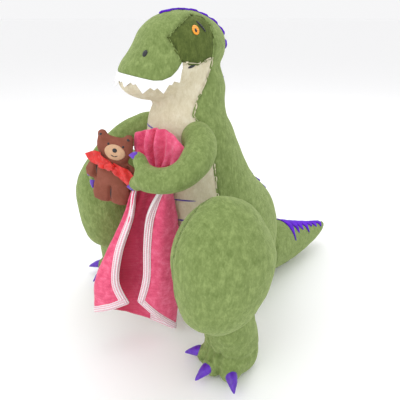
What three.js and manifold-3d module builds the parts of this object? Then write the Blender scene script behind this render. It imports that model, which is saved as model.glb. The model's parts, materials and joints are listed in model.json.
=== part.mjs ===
// A stuffed dinosaur that stands on two feet and its tail, holding a felt bear and a small blanket.
// Millimetres, +Z up, the dinosaur faces -Y and its left side is +X.
// Every sewn form is a skin of cut panels over its own stuffing.
// The limbs, neck and tail flex at their seams.

import * as THREE from 'three';
import { mergeVertices } from 'three/addons/utils/BufferGeometryUtils.js';
import Module from 'manifold-3d';

const wasm = await Module();
wasm.setup();

// ---------------------------------------------------------------- driving dimensions

const skin = 1.6;            // plush fabric with its pile
const gap = 0.3;             // clearance between pieces that touch
const seamGap = 1;           // clearance at a flexing seam, which its fabric bridges
const felt = 1.2;            // felt sheet
const thread = 0.6;          // how proud an embroidered mark stands

const neckPivot = [0, 25, 222];
const neckRadius = 26;
const neckSeamLow = -12;     // top rim of the torso, below the neck pivot
const neckSeamHigh = -3;     // lowest part of the head, below the neck pivot
const headTurn = -15;        // degrees, the head looks to its right

const tailPivot = [0, 140, 34];
const tailRadius = 33;
const tailSeamY = 131;

const shoulderX = 37;        // flat inner face of each arm
const shoulderY = 16;
const shoulderZ = 199;
const shoulderOpening = 7;   // half the opening that the stuffing went in by

const leftHip = [82, -7, 103];     // centre of the left thigh
const rightHip = [-79, 1, 105];    // the right leg is splayed
const thighSize = [36, 40, 51];
const hipFace = 49;          // flat inner face of each thigh
const hipOpening = 20;

const ankleRadius = 22;
const ankleOpening = 9;
const footLength = 24;
const footWidth = 23;
const footHeight = 25;
const leftAnkle = [-4, 13, -62];    // from the hip
const rightAnkle = [-28, 12, -64];  // from the hip, further out
const rightFootTurn = -45;          // degrees, toes out
const toeReach = 17;
const toeSpread = 42;               // degrees between toes
const toeRadius = 10;
const clawLength = 18;
const clawRadius = 5;
const fingerClawLength = 11;
const fingerClawRadius = 3;

const bearCentre = [-18, -35, 161];
const bearTurn = 35;         // degrees, the bear faces partly to the left
const bearLean = 9;          // degrees, its head leans to the left
const bearThick = 9;

const teethDepth = 6;        // felt band below the lip

// ---------------------------------------------------------------- colours

const plushGreen = { color: '#8a9c5e', roughness: 0.95 };
const cheekGreen = { color: '#66763e', roughness: 0.95 };
const cream = { color: '#dcd2b2', roughness: 0.95 };
const whiteFelt = { color: '#f3f4f8', roughness: 0.9 };
const purpleFelt = { color: '#5a1cc0', roughness: 0.9 };
const purpleSatin = { color: '#5a14b4', roughness: 0.35 };
const eyeOrange = { color: '#ffa51c', roughness: 0.5 };
const darkThread = { color: '#11151c', roughness: 0.6 };
const pinkFleece = { color: '#ea6a8c', roughness: 0.95 };
const laceWhite = { color: '#efd8de', roughness: 0.7 };
const brownFelt = { color: '#86513d', roughness: 0.95 };
const tanFelt = { color: '#cba788', roughness: 0.95 };
const redSatin = { color: '#e01c16', roughness: 0.35 };
const fibre = { color: '#f2f0ea', roughness: 1 };
const pelletCloth = { color: '#c9c2b0', roughness: 0.9 };

// ---------------------------------------------------------------- helpers

const radians = THREE.MathUtils.degToRad;
const vector = (values) => new THREE.Vector3(...values);

function welded(geometry) {
  const bare = geometry.clone();
  bare.deleteAttribute('normal');
  bare.deleteAttribute('uv');
  return mergeVertices(bare, 1e-4);
}

function solidOf(geometry) {
  const closed = welded(geometry);
  return new wasm.Manifold(new wasm.Mesh({
    numProp: 3,
    vertProperties: Float32Array.from(closed.attributes.position.array),
    triVerts: Uint32Array.from(closed.index.array),
  }));
}

function geometryOf(solid) {
  const mesh = solid.getMesh();
  const geometry = new THREE.BufferGeometry();
  geometry.setAttribute('position', new THREE.BufferAttribute(mesh.vertProperties, 3));
  geometry.setIndex(new THREE.BufferAttribute(mesh.triVerts, 1));
  geometry.computeVertexNormals();
  return geometry;
}

// Trimming a thin shell can leave slivers at its edge: only the largest body is the piece.
function mainBody(solid) {
  const bodies = solid.decompose();
  return bodies.reduce((largest, body) => (body.volume() > largest.volume() ? body : largest));
}

function piece(name, solid, finish) {
  const material = new THREE.MeshStandardMaterial({ metalness: 0, ...finish });
  const mesh = new THREE.Mesh(geometryOf(mainBody(solid)), material);
  mesh.name = name;
  return mesh;
}

// Every point of the surface moves out along its normal, or in when the distance is negative.
function grown(geometry, distance) {
  const moved = welded(geometry);
  moved.computeVertexNormals();
  const { position, normal } = moved.attributes;
  const point = new THREE.Vector3();
  const outward = new THREE.Vector3();
  for (let i = 0; i < position.count; i += 1) {
    point.fromBufferAttribute(position, i);
    outward.fromBufferAttribute(normal, i);
    point.addScaledVector(outward, distance);
    position.setXYZ(i, point.x, point.y, point.z);
  }
  moved.deleteAttribute('normal');
  return moved;
}

// A round form along a path. Each section has its centre, half width, half depth and turn about the path.
function stuffedForm(sections, around = 20, steps = 10) {
  const path = new THREE.CatmullRomCurve3(sections.map((s) => vector(s.at)));
  const measures = sections.map((s) => new THREE.Vector3(s.wide, s.deep, s.turn ?? 0));
  const sizes = new THREE.CatmullRomCurve3(measures);
  const form = new THREE.CylinderGeometry(1, 1, 1, around, steps);
  const { position } = form.attributes;
  const sideways = new THREE.Vector3(1, 0, 0);
  for (let i = 0; i < position.count; i += 1) {
    const along = 0.5 - position.getY(i);
    const centre = path.getPoint(along);
    const size = sizes.getPoint(along);
    const ahead = path.getTangent(along);
    const side = sideways.clone().addScaledVector(ahead, -sideways.dot(ahead)).normalize();
    side.applyAxisAngle(ahead, radians(size.z));
    const depth = new THREE.Vector3().crossVectors(ahead, side);
    centre.addScaledVector(side, position.getX(i) * size.x);
    centre.addScaledVector(depth, position.getZ(i) * size.y);
    position.setXYZ(i, centre.x, centre.y, centre.z);
  }
  return form;
}

function ball(centre, radius, around = 16) {
  const sphere = new THREE.SphereGeometry(radius, around, Math.round(around * 0.6));
  return sphere.translate(...centre);
}

function block(low, high) {
  const size = vector(high).sub(vector(low));
  const box = new THREE.BoxGeometry(size.x, size.y, size.z);
  const middle = vector(low).add(vector(high)).multiplyScalar(0.5);
  return box.translate(middle.x, middle.y, middle.z);
}

function shapeOf(points) {
  return new THREE.Shape(points.map(([u, v]) => new THREE.Vector2(u, v)));
}

// A prism across the model: its outline is drawn in Y and Z, and it runs from x1 to x2.
function sidePrism(points, x1, x2) {
  const prism = new THREE.ExtrudeGeometry(shapeOf(points), { depth: x2 - x1, bevelEnabled: false });
  prism.applyMatrix4(new THREE.Matrix4().makeBasis(
    new THREE.Vector3(0, 1, 0), new THREE.Vector3(0, 0, 1), new THREE.Vector3(1, 0, 0)));
  return prism.translate(x1, 0, 0);
}

// A prism along the model: its outline is drawn in X and Z, and it runs from y1 to y2.
function frontPrism(points, y1, y2) {
  const prism = new THREE.ExtrudeGeometry(shapeOf(points), { depth: y2 - y1, bevelEnabled: false });
  return prism.rotateX(Math.PI / 2).translate(0, y2, 0);
}

// A prism down through the model: its outline is drawn in X and Y, and it runs from z1 to z2.
function topPrism(points, z1, z2) {
  const prism = new THREE.ExtrudeGeometry(shapeOf(points), { depth: z2 - z1, bevelEnabled: false });
  return prism.translate(0, 0, z1);
}

function mirrored(points) {
  return points.map(([u, v]) => [-u, v]).reverse();
}

// The layer of a form between two distances from its surface.
function layer(form, inner, outer) {
  return solidOf(grown(form, outer)).subtract(solidOf(grown(form, inner)));
}

// A thin patch of felt or thread lying on a form, cut to a prism.
function patch(form, prism, thickness) {
  return layer(form, gap, gap + thickness).intersect(solidOf(prism));
}

function claw(base, direction, length = clawLength, radius = clawRadius) {
  const cone = new THREE.ConeGeometry(radius, length, 8, 2);
  const { position } = cone.attributes;
  for (let i = 0; i < position.count; i += 1) {
    const along = position.getY(i) / length + 0.5;
    position.setZ(i, position.getZ(i) * 0.8 - along * along * length * 0.12);
  }
  cone.translate(0, length / 2, 0);
  const aim = vector(direction).normalize();
  const turn = new THREE.Quaternion().setFromUnitVectors(new THREE.Vector3(0, 1, 0), aim);
  cone.applyQuaternion(turn);
  return cone.translate(...base);
}

function groupOf(...meshes) {
  const group = new THREE.Group();
  group.add(...meshes);
  return group;
}

// ---------------------------------------------------------------- torso

// A pear that leans back: the belly is in front, the rump runs into the tail.
const torsoForm = stuffedForm([
  { at: [0, 96, 14], wide: 14, deep: 18 },
  { at: [0, 90, 26], wide: 34, deep: 46 },
  { at: [0, 80, 48], wide: 43, deep: 61 },
  { at: [0, 68, 76], wide: 46, deep: 68 },
  { at: [0, 52, 106], wide: 46, deep: 60 },
  { at: [0, 41, 137], wide: 44, deep: 50 },
  { at: [0, 34, 168], wide: 39, deep: 42 },
  { at: [0, 29, 196], wide: 33, deep: 35 },
  { at: [0, 26, 216], wide: 31, deep: 31 },
], 16, 8);

// What the torso leaves free for the neck and the tail, and a little more for its stuffing.
function torsoCuts(extra = 0) {
  const clear = seamGap + extra;
  const rim = neckPivot[2] + neckSeamLow - extra;
  const neckBall = solidOf(ball(neckPivot, neckRadius + clear, 14));
  const aboveNeck = solidOf(block([-60, -40, rim], [60, 110, rim + 40]));
  const tailBall = solidOf(ball(tailPivot, tailRadius + clear, 14));
  const behindTail = solidOf(block([-60, tailSeamY - extra, -5], [60, 200, tailPivot[2] + tailRadius]));
  return neckBall.add(aboveNeck).add(tailBall).add(behindTail);
}

const bellyHalf = [[20, 36], [34, 66], [41, 102], [41, 137], [37, 169], [29, 200], [25, 214]];
const bellyOutline = [[0, 30], ...bellyHalf, [0, 214], ...mirrored(bellyHalf)];

function bellyPrism() {
  return frontPrism(bellyOutline, -40, 44);
}

function leftHalf() {
  return solidOf(block([gap / 2, -150, -60], [180, 300, 300]));
}

function rightHalf() {
  return solidOf(block([-180, -150, -60], [-gap / 2, 300, 300]));
}

function torsoParts() {
  const shell = layer(torsoForm, -skin, 0).subtract(torsoCuts());
  const belly = shell.intersect(solidOf(bellyPrism()));
  const sides = shell.subtract(solidOf(grown(bellyPrism(), gap)));
  const pelletBag = ball([0, 0, 0], 21, 10).scale(1.2, 1.2, 0.85).translate(0, 84, 31);
  const inside = solidOf(grown(torsoForm, -skin - gap)).subtract(torsoCuts(skin));
  const pocket = solidOf(grown(pelletBag, gap)).add(solidOf(block([-9, 75, 0], [9, 93, 20])));
  const stuffing = inside.subtract(pocket);
  return [
    piece('belly_panel', belly, cream),
    piece('side_panel_left', sides.intersect(leftHalf()), plushGreen),
    piece('side_panel_right', sides.intersect(rightHalf()), plushGreen),
    piece('torso_stuffing', stuffing, fibre),
    piece('pellet_bag', solidOf(pelletBag).intersect(inside), pelletCloth),
  ];
}

// ---------------------------------------------------------------- felt spikes

// A felt strip lies along a seam, and its edge is cut into teeth. The outline runs out along one
// side of the seam and back along the other.
function zigzag(stops, halfWidth, tooth) {
  const edge = [];
  stops.forEach((stop, i) => {
    edge.push([halfWidth, stop]);
    if (i < stops.length - 1) {
      edge.push([halfWidth + tooth, (stop + stops[i + 1]) / 2]);
    }
  });
  return [...edge, ...mirrored(edge)];
}

// Even stops from one value to another.
function evenSteps(from, to, count) {
  return Array.from({ length: count + 1 }, (_, i) => from + (i * (to - from)) / count);
}

// ---------------------------------------------------------------- head

const headForm = stuffedForm([
  { at: [0, 25, 18], wide: 10, deep: 14 },
  { at: [0, 18, 23], wide: 22, deep: 26 },
  { at: [0, 6, 27], wide: 28, deep: 30 },
  { at: [0, -10, 26.5], wide: 30, deep: 30.5 },
  { at: [0, -24, 22.5], wide: 30, deep: 28 },
  { at: [0, -36, 19.5], wide: 28, deep: 23.5 },
  { at: [0, -46, 18], wide: 23, deep: 17 },
  { at: [0, -51, 17.5], wide: 16, deep: 10.5 },
  { at: [0, -53, 17.5], wide: 9, deep: 5 },
], 16, 8);

// Head seams, drawn in Y and Z from the neck pivot.
const lipLine = [[-80, 18], [-52, 16], [-40, 12.5], [-33, 11], [-27, 12], [-22, 14], [-17, 18], [-12, 23]];
const jawOutline = [[-80, -20], ...lipLine, [14, 24], [9, 8], [2, -6], [-4, -20]];
const cheekOutline = [[-17, 42.5], [-10, 46.5], [-2, 50.5], [8, 51], [14.5, 46], [14, 25.5], [-12, 24.5]];
const snoutOutline = [...lipLine, [-17, 42.5], [-22, 70], [-80, 70]];

const gumLine = lipLine.slice(0, -1);
const teethOutline = [...gumLine, ...gumLine.toReversed().map(([y, z]) => [y, z - teethDepth])];

function headCuts(extra = 0) {
  const low = neckSeamHigh + extra;
  return solidOf(ball([0, 0, 0], neckRadius + seamGap + extra, 14))
    .add(solidOf(block([-60, -34, low - 40], [60, 60, low])));
}

function headParts() {
  const shell = layer(headForm, -skin, 0).subtract(headCuts());
  const jawPrism = sidePrism(jawOutline, -60, 60);
  const snoutPrism = sidePrism(snoutOutline, -60, 60);
  const cheekPrisms = [sidePrism(cheekOutline, 12, 60), sidePrism(cheekOutline, -60, -12)];
  const jaw = shell.intersect(solidOf(jawPrism));
  const cut = (solid, ...prisms) =>
    prisms.reduce((left, prism) => left.subtract(solidOf(grown(prism, gap))), solid);
  const snout = cut(shell, jawPrism).intersect(solidOf(snoutPrism));
  const cheeks = cheekPrisms.map((prism) => cut(shell.intersect(solidOf(prism)), jawPrism, snoutPrism));
  const crown = cut(shell, jawPrism, snoutPrism, ...cheekPrisms);
  const stuffing = solidOf(grown(headForm, -skin - gap)).subtract(headCuts(skin));
  const neckBall = solidOf(ball([0, 0, 0], neckRadius, 14));
  const crest = topPrism(zigzag(evenSteps(-16, 22, 5), 3, 4), 30, 80);
  return {
    neck: [piece('neck_stuffing', neckBall, fibre)],
    head: [
      piece('jaw_panel', jaw, cream),
      piece('snout_panel', snout, plushGreen),
      piece('cheek_panel_left', cheeks[0], cheekGreen),
      piece('cheek_panel_right', cheeks[1], cheekGreen),
      piece('crown_panel', crown, plushGreen),
      piece('head_stuffing', stuffing, fibre),
      ...faceParts(),
      piece('teeth', patch(headForm, sidePrism(teethOutline, -60, 60), felt), whiteFelt),
      piece('head_felt', patch(headForm, crest, felt), purpleFelt),
    ],
  };
}

function faceParts() {
  const marks = [];
  const eye = [-1, 44.5];
  [['left', 1], ['right', -1]].forEach(([side, sign]) => {
    const near = Math.min(sign * 8, sign * 50);
    const far = Math.max(sign * 8, sign * 50);
    const across = (points) => sidePrism(points, near, far);
    const iris = patch(headForm, across(disc(eye, 3.8, 4.9)), thread);
    const pupilForm = grown(headForm, gap + thread);
    const pupil = patch(pupilForm, across(disc([eye[0] - 1, eye[1] - 0.8], 1.6, 2.4)), thread);
    const brow = patch(headForm, across(bar([3, 52], [7.5, 43.5], 1.1)), thread);
    const mouth = patch(headForm, across(bar([-9, 19.5], [-3, 21.5], 0.9)), thread);
    const nostril = patch(headForm, across(bar([-40.5, 30], [-37.5, 35], 1.2)), thread);
    marks.push(
      piece(`eye_${side}`, iris, eyeOrange),
      piece(`pupil_${side}`, pupil, darkThread),
      piece(`brow_${side}`, brow, darkThread),
      piece(`mouth_stitch_${side}`, mouth, darkThread),
      piece(`nostril_${side}`, nostril, darkThread),
    );
  });
  return marks;
}

function disc([u, v], halfWide, halfHigh) {
  const curve = new THREE.EllipseCurve(u, v, halfWide, halfHigh, 0, 2 * Math.PI);
  return curve.getPoints(12).slice(0, -1).map((point) => [point.x, point.y]);
}

function bar([u1, v1], [u2, v2], halfWide) {
  const across = new THREE.Vector2(v1 - v2, u2 - u1).normalize().multiplyScalar(halfWide);
  return [
    [u1 - across.x, v1 - across.y], [u2 - across.x, v2 - across.y],
    [u2 + across.x, v2 + across.y], [u1 + across.x, v1 + across.y],
  ];
}

// ---------------------------------------------------------------- tail

const tailForm = stuffedForm([
  { at: [0, 128, 36], wide: 30, deep: 30 },
  { at: [0, 150, 32], wide: 30, deep: 31 },
  { at: [0, 178, 26], wide: 25, deep: 27 },
  { at: [0, 206, 22], wide: 19, deep: 21.5 },
  { at: [0, 232, 21], wide: 12, deep: 14.5 },
  { at: [0, 250, 24], wide: 7, deep: 8 },
  { at: [0, 257, 26], wide: 3, deep: 3.5 },
], 14, 7);

function tailSolid(inset) {
  const floor = solidOf(block([-60, 90, inset], [60, 280, 90]));
  const root = solidOf(ball(tailPivot, tailRadius - inset, 14));
  const beyond = solidOf(block([-60, tailPivot[1], -20], [60, 280, 90]));
  return solidOf(grown(tailForm, -inset)).intersect(beyond).add(root).intersect(floor);
}

function tailParts() {
  const opening = solidOf(block([-14, 80, 20], [14, 130, 48]));
  const shell = tailSolid(0).subtract(tailSolid(skin)).subtract(opening);
  return [
    piece('tail_panel_left', shell.intersect(leftHalf()), plushGreen),
    piece('tail_panel_right', shell.intersect(rightHalf()), plushGreen),
    piece('tail_stuffing', tailSolid(skin + gap), fibre),
  ];
}

function feltParts() {
  const backTeeth = frontPrism(zigzag(evenSteps(84, 196, 7), 3, 5), 40, 200);
  const tailTeeth = topPrism(zigzag(evenSteps(178, 244, 6), 5, 6), 24, 90);
  return [
    piece('back_felt', patch(torsoForm, backTeeth, felt), purpleFelt),
    piece('tail_felt', patch(tailForm, tailTeeth, felt), purpleFelt),
  ];
}

// ---------------------------------------------------------------- arms

const leftArmPath = [
  { at: [30, 16, 200], wide: 14, deep: 14 },
  { at: [44, 14, 198], wide: 14, deep: 14 },
  { at: [54, 6, 190], wide: 13, deep: 13 },
  { at: [57, -8, 179], wide: 12.5, deep: 12.5 },
  { at: [47, -20, 170], wide: 12, deep: 12 },
  { at: [31, -29, 166], wide: 11.5, deep: 11.5 },
  { at: [15, -34, 165], wide: 10, deep: 10 },
];
const rightArmPath = [
  { at: [-30, 16, 199], wide: 14, deep: 14 },
  { at: [-44, 12, 197], wide: 14, deep: 14 },
  { at: [-55, 2, 189], wide: 13, deep: 13 },
  { at: [-60, -14, 176], wide: 12, deep: 12 },
  { at: [-56, -27, 164], wide: 11, deep: 11 },
  { at: [-49, -36, 157], wide: 10, deep: 10 },
];

function arm(path, fingers) {
  return {
    form: stuffedForm(path, 10, 7),
    fingers: fingers.map(([from, to, radius]) => stuffedForm([
      { at: from, wide: radius * 0.8, deep: radius * 0.8 },
      { at: middleOf(from, to), wide: radius, deep: radius },
      { at: to, wide: radius * 0.55, deep: radius * 0.55 },
    ], 8, 3)),
  };
}

function middleOf(from, to) {
  return from.map((value, i) => (value + to[i]) / 2);
}

// Each finger runs from a knuckle to a tip, with its radius.
const leftArm = arm(leftArmPath, [
  [[18, -33, 167], [9, -32, 177], 6.5],
  [[19, -33, 162], [6, -34, 157], 7.5],
]);
const rightArm = arm(rightArmPath, [
  [[-49, -35, 158], [-41, -45, 156], 7],
  [[-50, -33, 156], [-44, -40, 146], 7],
]);

function armSolid({ form, fingers }, inset, side) {
  const face = side * (shoulderX + inset);
  const inside = solidOf(block([Math.min(face, 0), -5, 150], [Math.max(face, 0), 50, 240]));
  const limbSolid = solidOf(grown(form, -inset));
  const whole = fingers.reduce((left, finger) => left.add(solidOf(grown(finger, -inset))), limbSolid);
  return whole.subtract(inside);
}

function armParts(name, limb, side, clawAims) {
  const held = solidOf(heldBear(gap));
  const opening = solidOf(block(
    [side * shoulderX - 20, shoulderY - shoulderOpening, shoulderZ - shoulderOpening],
    [side * shoulderX + 5, shoulderY + shoulderOpening, shoulderZ + shoulderOpening],
  ));
  const outer = armSolid(limb, 0, side).subtract(held);
  const inner = armSolid(limb, skin, side).subtract(solidOf(heldBear(gap + skin)));
  const shell = outer.subtract(inner).subtract(opening);
  const stuffing = armSolid(limb, skin + gap, side).subtract(solidOf(heldBear(2 * gap + skin)));
  const clear = armSolid(limb, -gap, side).add(held);
  return [
    piece(`arm_skin_${name}`, shell, plushGreen),
    piece(`arm_stuffing_${name}`, stuffing, fibre),
    ...clawAims.map(([base, aim], i) => piece(
      `finger_claw_${name}_${i + 1}`,
      solidOf(claw(base, aim, fingerClawLength, fingerClawRadius)).subtract(clear),
      purpleSatin,
    )),
  ];
}

// ---------------------------------------------------------------- legs

function thighSolid(side, hip, inset) {
  const [wide, deep, high] = thighSize.map((size) => size - inset);
  const round = ball([0, 0, 0], 1, 14).scale(wide, deep, high);
  const face = side * (hipFace + inset) - hip[0];
  const outward = solidOf(block([Math.min(face, side * 80), -80, -80], [Math.max(face, side * 80), 80, 80]));
  return solidOf(round).intersect(outward);
}

// The foot is modelled about its ankle: a round ankle, a heel, the arch and three toes on a flat sole.
function footCore(inset) {
  const sole = -(leftHip[2] + leftAnkle[2]) + inset;
  const heel = ball([0, 0, 0], 1, 10)
    .scale(footWidth - inset, footLength - inset, footHeight - inset)
    .translate(0, 2, -20);
  const ankle = ball([0, 0, 0], ankleRadius - inset, 14);
  const floor = solidOf(block([-60, -60, sole], [60, 60, 40]));
  return { floor, core: solidOf(heel).add(solidOf(ankle)) };
}

function footSolid(inset) {
  const { floor, core } = footCore(inset);
  const toes = [-1, 0, 1].map((step) => ball(toeCentre(step), toeRadius - inset, 8));
  return toes.reduce((left, toe) => left.add(solidOf(toe)), core).intersect(floor);
}

function footInside(inset) {
  const { floor, core } = footCore(inset);
  return core.intersect(floor);
}

function toeCentre(step) {
  const angle = radians(step * toeSpread);
  return [toeReach * Math.sin(angle), 2 - toeReach * Math.cos(angle), -33];
}

function thighParts(name, side, hip, ankle) {
  const face = side * hipFace - hip[0];
  const hole = new THREE.CylinderGeometry(hipOpening, hipOpening, 20, 12).rotateZ(Math.PI / 2);
  const opening = solidOf(hole.translate(face, 0, 0));
  const socket = (extra) => solidOf(ball(ankle, ankleRadius + seamGap + extra, 14));
  const inner = thighSolid(side, hip, skin).subtract(socket(skin));
  const shell = thighSolid(side, hip, 0).subtract(socket(0)).subtract(inner).subtract(opening);
  const stuffing = thighSolid(side, hip, skin + gap).subtract(socket(skin + gap));
  return [
    piece(`thigh_skin_${name}`, shell, plushGreen),
    piece(`thigh_stuffing_${name}`, stuffing, fibre),
  ];
}

function footParts(name) {
  const hole = new THREE.CylinderGeometry(ankleOpening, ankleOpening, 12, 10).rotateX(Math.PI / 2);
  const opening = solidOf(hole.translate(0, 0, ankleRadius));
  const claws = [-1, 0, 1].map((step) => {
    const [x, y, z] = toeCentre(step);
    const angle = radians(step * toeSpread * 1.3);
    const aim = [Math.sin(angle), -Math.cos(angle), -0.2];
    const base = [x + aim[0] * 5, y + aim[1] * 5, z + 1];
    const cone = solidOf(claw(base, aim)).subtract(footSolid(-gap));
    return piece(`foot_claw_${name}_${step + 2}`, cone, purpleSatin);
  });
  return [
    piece(`foot_skin_${name}`, footSolid(0).subtract(footInside(skin)).subtract(opening), plushGreen),
    piece(`foot_stuffing_${name}`, footInside(skin + gap), fibre),
    ...claws,
  ];
}

function legGroup(name, side, hip, ankle, turn) {
  const group = place(thighParts(name, side, hip, ankle), hip);
  group.add(place(footParts(name), ankle, turn));
  return group;
}

// ---------------------------------------------------------------- blanket

// The blanket is pinched flat between the left forearm and the belly, fans out above, and hangs below.
const blanketForm = stuffedForm([
  { at: [1, -38, 17], wide: 37, deep: 4, turn: 55 },
  { at: [1, -37, 42], wide: 35, deep: 4.5, turn: 54 },
  { at: [2, -34, 70], wide: 31, deep: 5, turn: 50 },
  { at: [6, -27, 105], wide: 24, deep: 4.5, turn: 42 },
  { at: [11, -19, 140], wide: 13, deep: 3.5, turn: 30 },
  { at: [13, -15, 160], wide: 13, deep: 2.8, turn: 20 },
  { at: [16, -12.5, 174], wide: 19, deep: 2.4, turn: 12 },
  { at: [17, -11.5, 187], wide: 19, deep: 1.8, turn: 10 },
  { at: [16, -10.5, 197], wide: 12, deep: 1.4, turn: 8 },
], 12, 8);

function blanketParts() {
  const hem = solidOf(block([-70, -100, 24], [70, 40, 30]));
  return [
    piece('blanket', solidOf(blanketForm), pinkFleece),
    piece('blanket_trim', layer(blanketForm, 2 * gap, 2 * gap + thread).intersect(hem), laceWhite),
  ];
}

// ---------------------------------------------------------------- bear

// The flat outline of the bear: ears, head, arms and legs, drawn for the left half.
const bearHalf = [
  [0, 26], [6, 26.5], [9, 30], [14, 30], [16.5, 25], [15, 20], [15.5, 13], [12, 7], [18, 3], [21.5, -3],
  [19, -10], [14, -8], [15.5, -18], [14, -27], [3, -28], [1, -26], [1, -17],
];
const bearOutline = [...bearHalf.slice(1).reverse(), ...mirrored(bearHalf.slice(1)).reverse()];

function bearPlace(geometry) {
  return geometry
    .rotateX(Math.PI / 2)
    .rotateY(radians(bearLean))
    .rotateZ(radians(bearTurn))
    .translate(...bearCentre);
}

function bearSheet(from, to, outline = bearOutline) {
  const sheet = new THREE.ExtrudeGeometry(shapeOf(outline), { depth: to - from, bevelEnabled: false });
  return bearPlace(sheet.translate(0, 0, from));
}

function heldBear(clear) {
  return grown(bearSheet(-bearThick / 2, bearThick / 2), clear);
}

function bearParts() {
  const half = bearThick / 2;
  const inner = bearOutline.map(([u, v]) => [u * 0.86, v * 0.9]);
  const filling = bearSheet(-half + felt + gap, half - felt - gap, inner);
  const muzzleFace = half + gap;
  const noseFace = muzzleFace + felt + gap;
  return [
    piece('bear_front', solidOf(bearSheet(half - felt, half)), brownFelt),
    piece('bear_back', solidOf(bearSheet(-half, -half + felt)), brownFelt),
    piece('bear_stuffing', solidOf(filling), fibre),
    piece('bear_muzzle', solidOf(bearSheet(muzzleFace, muzzleFace + felt, disc([2, 16], 8, 6))), tanFelt),
    piece('bear_nose', solidOf(bearSheet(noseFace, noseFace + thread, disc([2, 18], 1.8, 1.6))), darkThread),
    piece('ribbon_bow', solidOf(bearSheet(half + gap, half + gap + 2, bowOutline)), redSatin),
  ];
}

const bowHalf = [[2.5, 2.8], [12, 6.5], [20, 6], [17.5, 2], [19, -3], [12, -3.5], [2.5, -1.5]];
const bowOutline = [...bowHalf, ...mirrored(bowHalf)].map(([u, v]) => [u, 6 + v - u * 0.15]);

function place(meshes, at, turn = 0) {
  const group = groupOf(...meshes);
  group.position.set(...at);
  group.rotation.z = radians(turn);
  return group;
}

const head = headParts();
const dinosaur = groupOf(
  ...torsoParts(),
  place(head.neck, neckPivot, headTurn),
  place(head.head, neckPivot, headTurn),
  ...tailParts(),
  ...armParts('left', leftArm, 1, [[[9, -34, 177], [-1, -0.7, -0.1]], [[6, -36, 157], [-1, -0.7, 0]]]),
  ...armParts('right', rightArm, -1, [[[-43, -43, 156], [0.6, -1, 0]], [[-45, -39, 148], [0.4, -1, -0.2]]]),
  ...bearParts(),
  legGroup('left', 1, leftHip, leftAnkle, 0),
  legGroup('right', -1, rightHip, rightAnkle, rightFootTurn),
  ...feltParts(),
  ...blanketParts(),
);

// The origin is on the floor, under the middle of the whole object.
const bounds = new THREE.Box3().setFromObject(dinosaur);
const middle = bounds.getCenter(new THREE.Vector3());
dinosaur.position.set(-middle.x, -middle.y, -bounds.min.z);

export default dinosaur;
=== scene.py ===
import json
import math

import bmesh
import bpy
from mathutils import Matrix, Quaternion, Vector, noise
from mathutils.bvhtree import BVHTree
from mathutils.geometry import interpolate_bezier, intersect_point_line
from mathutils.kdtree import KDTree


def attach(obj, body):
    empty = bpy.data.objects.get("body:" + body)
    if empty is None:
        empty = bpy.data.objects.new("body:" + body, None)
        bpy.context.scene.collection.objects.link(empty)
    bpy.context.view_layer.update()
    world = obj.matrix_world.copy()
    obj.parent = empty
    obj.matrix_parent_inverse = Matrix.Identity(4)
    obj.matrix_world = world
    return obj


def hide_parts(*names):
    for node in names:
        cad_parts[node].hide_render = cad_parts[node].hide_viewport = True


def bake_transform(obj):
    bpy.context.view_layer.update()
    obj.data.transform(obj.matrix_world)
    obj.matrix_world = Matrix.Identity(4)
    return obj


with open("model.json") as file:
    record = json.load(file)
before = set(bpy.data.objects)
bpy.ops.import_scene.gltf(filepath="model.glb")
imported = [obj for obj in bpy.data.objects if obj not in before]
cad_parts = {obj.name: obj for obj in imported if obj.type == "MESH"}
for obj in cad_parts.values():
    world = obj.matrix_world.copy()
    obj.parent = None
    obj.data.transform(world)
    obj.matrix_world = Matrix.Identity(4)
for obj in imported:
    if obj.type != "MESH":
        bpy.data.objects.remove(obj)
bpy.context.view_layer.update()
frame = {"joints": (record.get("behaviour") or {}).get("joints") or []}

# A stuffed dinosaur with a felt bear and a fleece blanket. The sewing pattern is drawn in millimetres
# on the dinosaur's middle line, with the floor at nought, and the frame's joints say where that lies.

scene = bpy.context.scene
mm = 0.001
jointAt = {joint["name"]: Vector(joint["pos_m"]) for joint in frame["joints"]}
neckPivot = Vector((0, 25, 222))
patternPlace = Matrix.Translation(jointAt["head_turn"] - neckPivot * mm) @ Matrix.Scale(mm, 4)
headPlace = patternPlace @ Matrix.Translation(neckPivot) @ Matrix.Rotation(math.radians(-15), 4, "Z")
fromHead = headPlace.inverted()
fromPattern = patternPlace.inverted()


def at(x, y, z):
    return patternPlace @ Vector((x, y, z))


# camera and light

cameraSettings = {"place": (276, -200, 275), "around": 48.8, "above": 23.1, "lens": 38.61, "sensor": 36}


def addCamera():
    data = bpy.data.cameras.new("camera")
    data.lens = cameraSettings["lens"]
    data.sensor_width = cameraSettings["sensor"]
    data.clip_start = 0.01
    camera = bpy.data.objects.new("camera", data)
    camera.location = at(*cameraSettings["place"])
    camera.rotation_euler = (
        math.radians(90 - cameraSettings["above"]), 0, math.radians(cameraSettings["around"]))
    scene.collection.objects.link(camera)
    scene.camera = camera


lightSettings = [
    # name, place in metres, size, watts
    ("keySoftbox", (0.15, -1.15, 0.95), 0.9, 4.6),
    ("fillSoftbox", (1.15, -0.15, 0.55), 0.8, 1.2),
    ("topSoftbox", (-0.25, 0.3, 1.2), 0.9, 3.2),
    ("rearSoftbox", (-0.9, 0.5, 0.5), 0.7, 1.5),
]
lightsAim = Vector((0, 0, 0.13))


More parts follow.
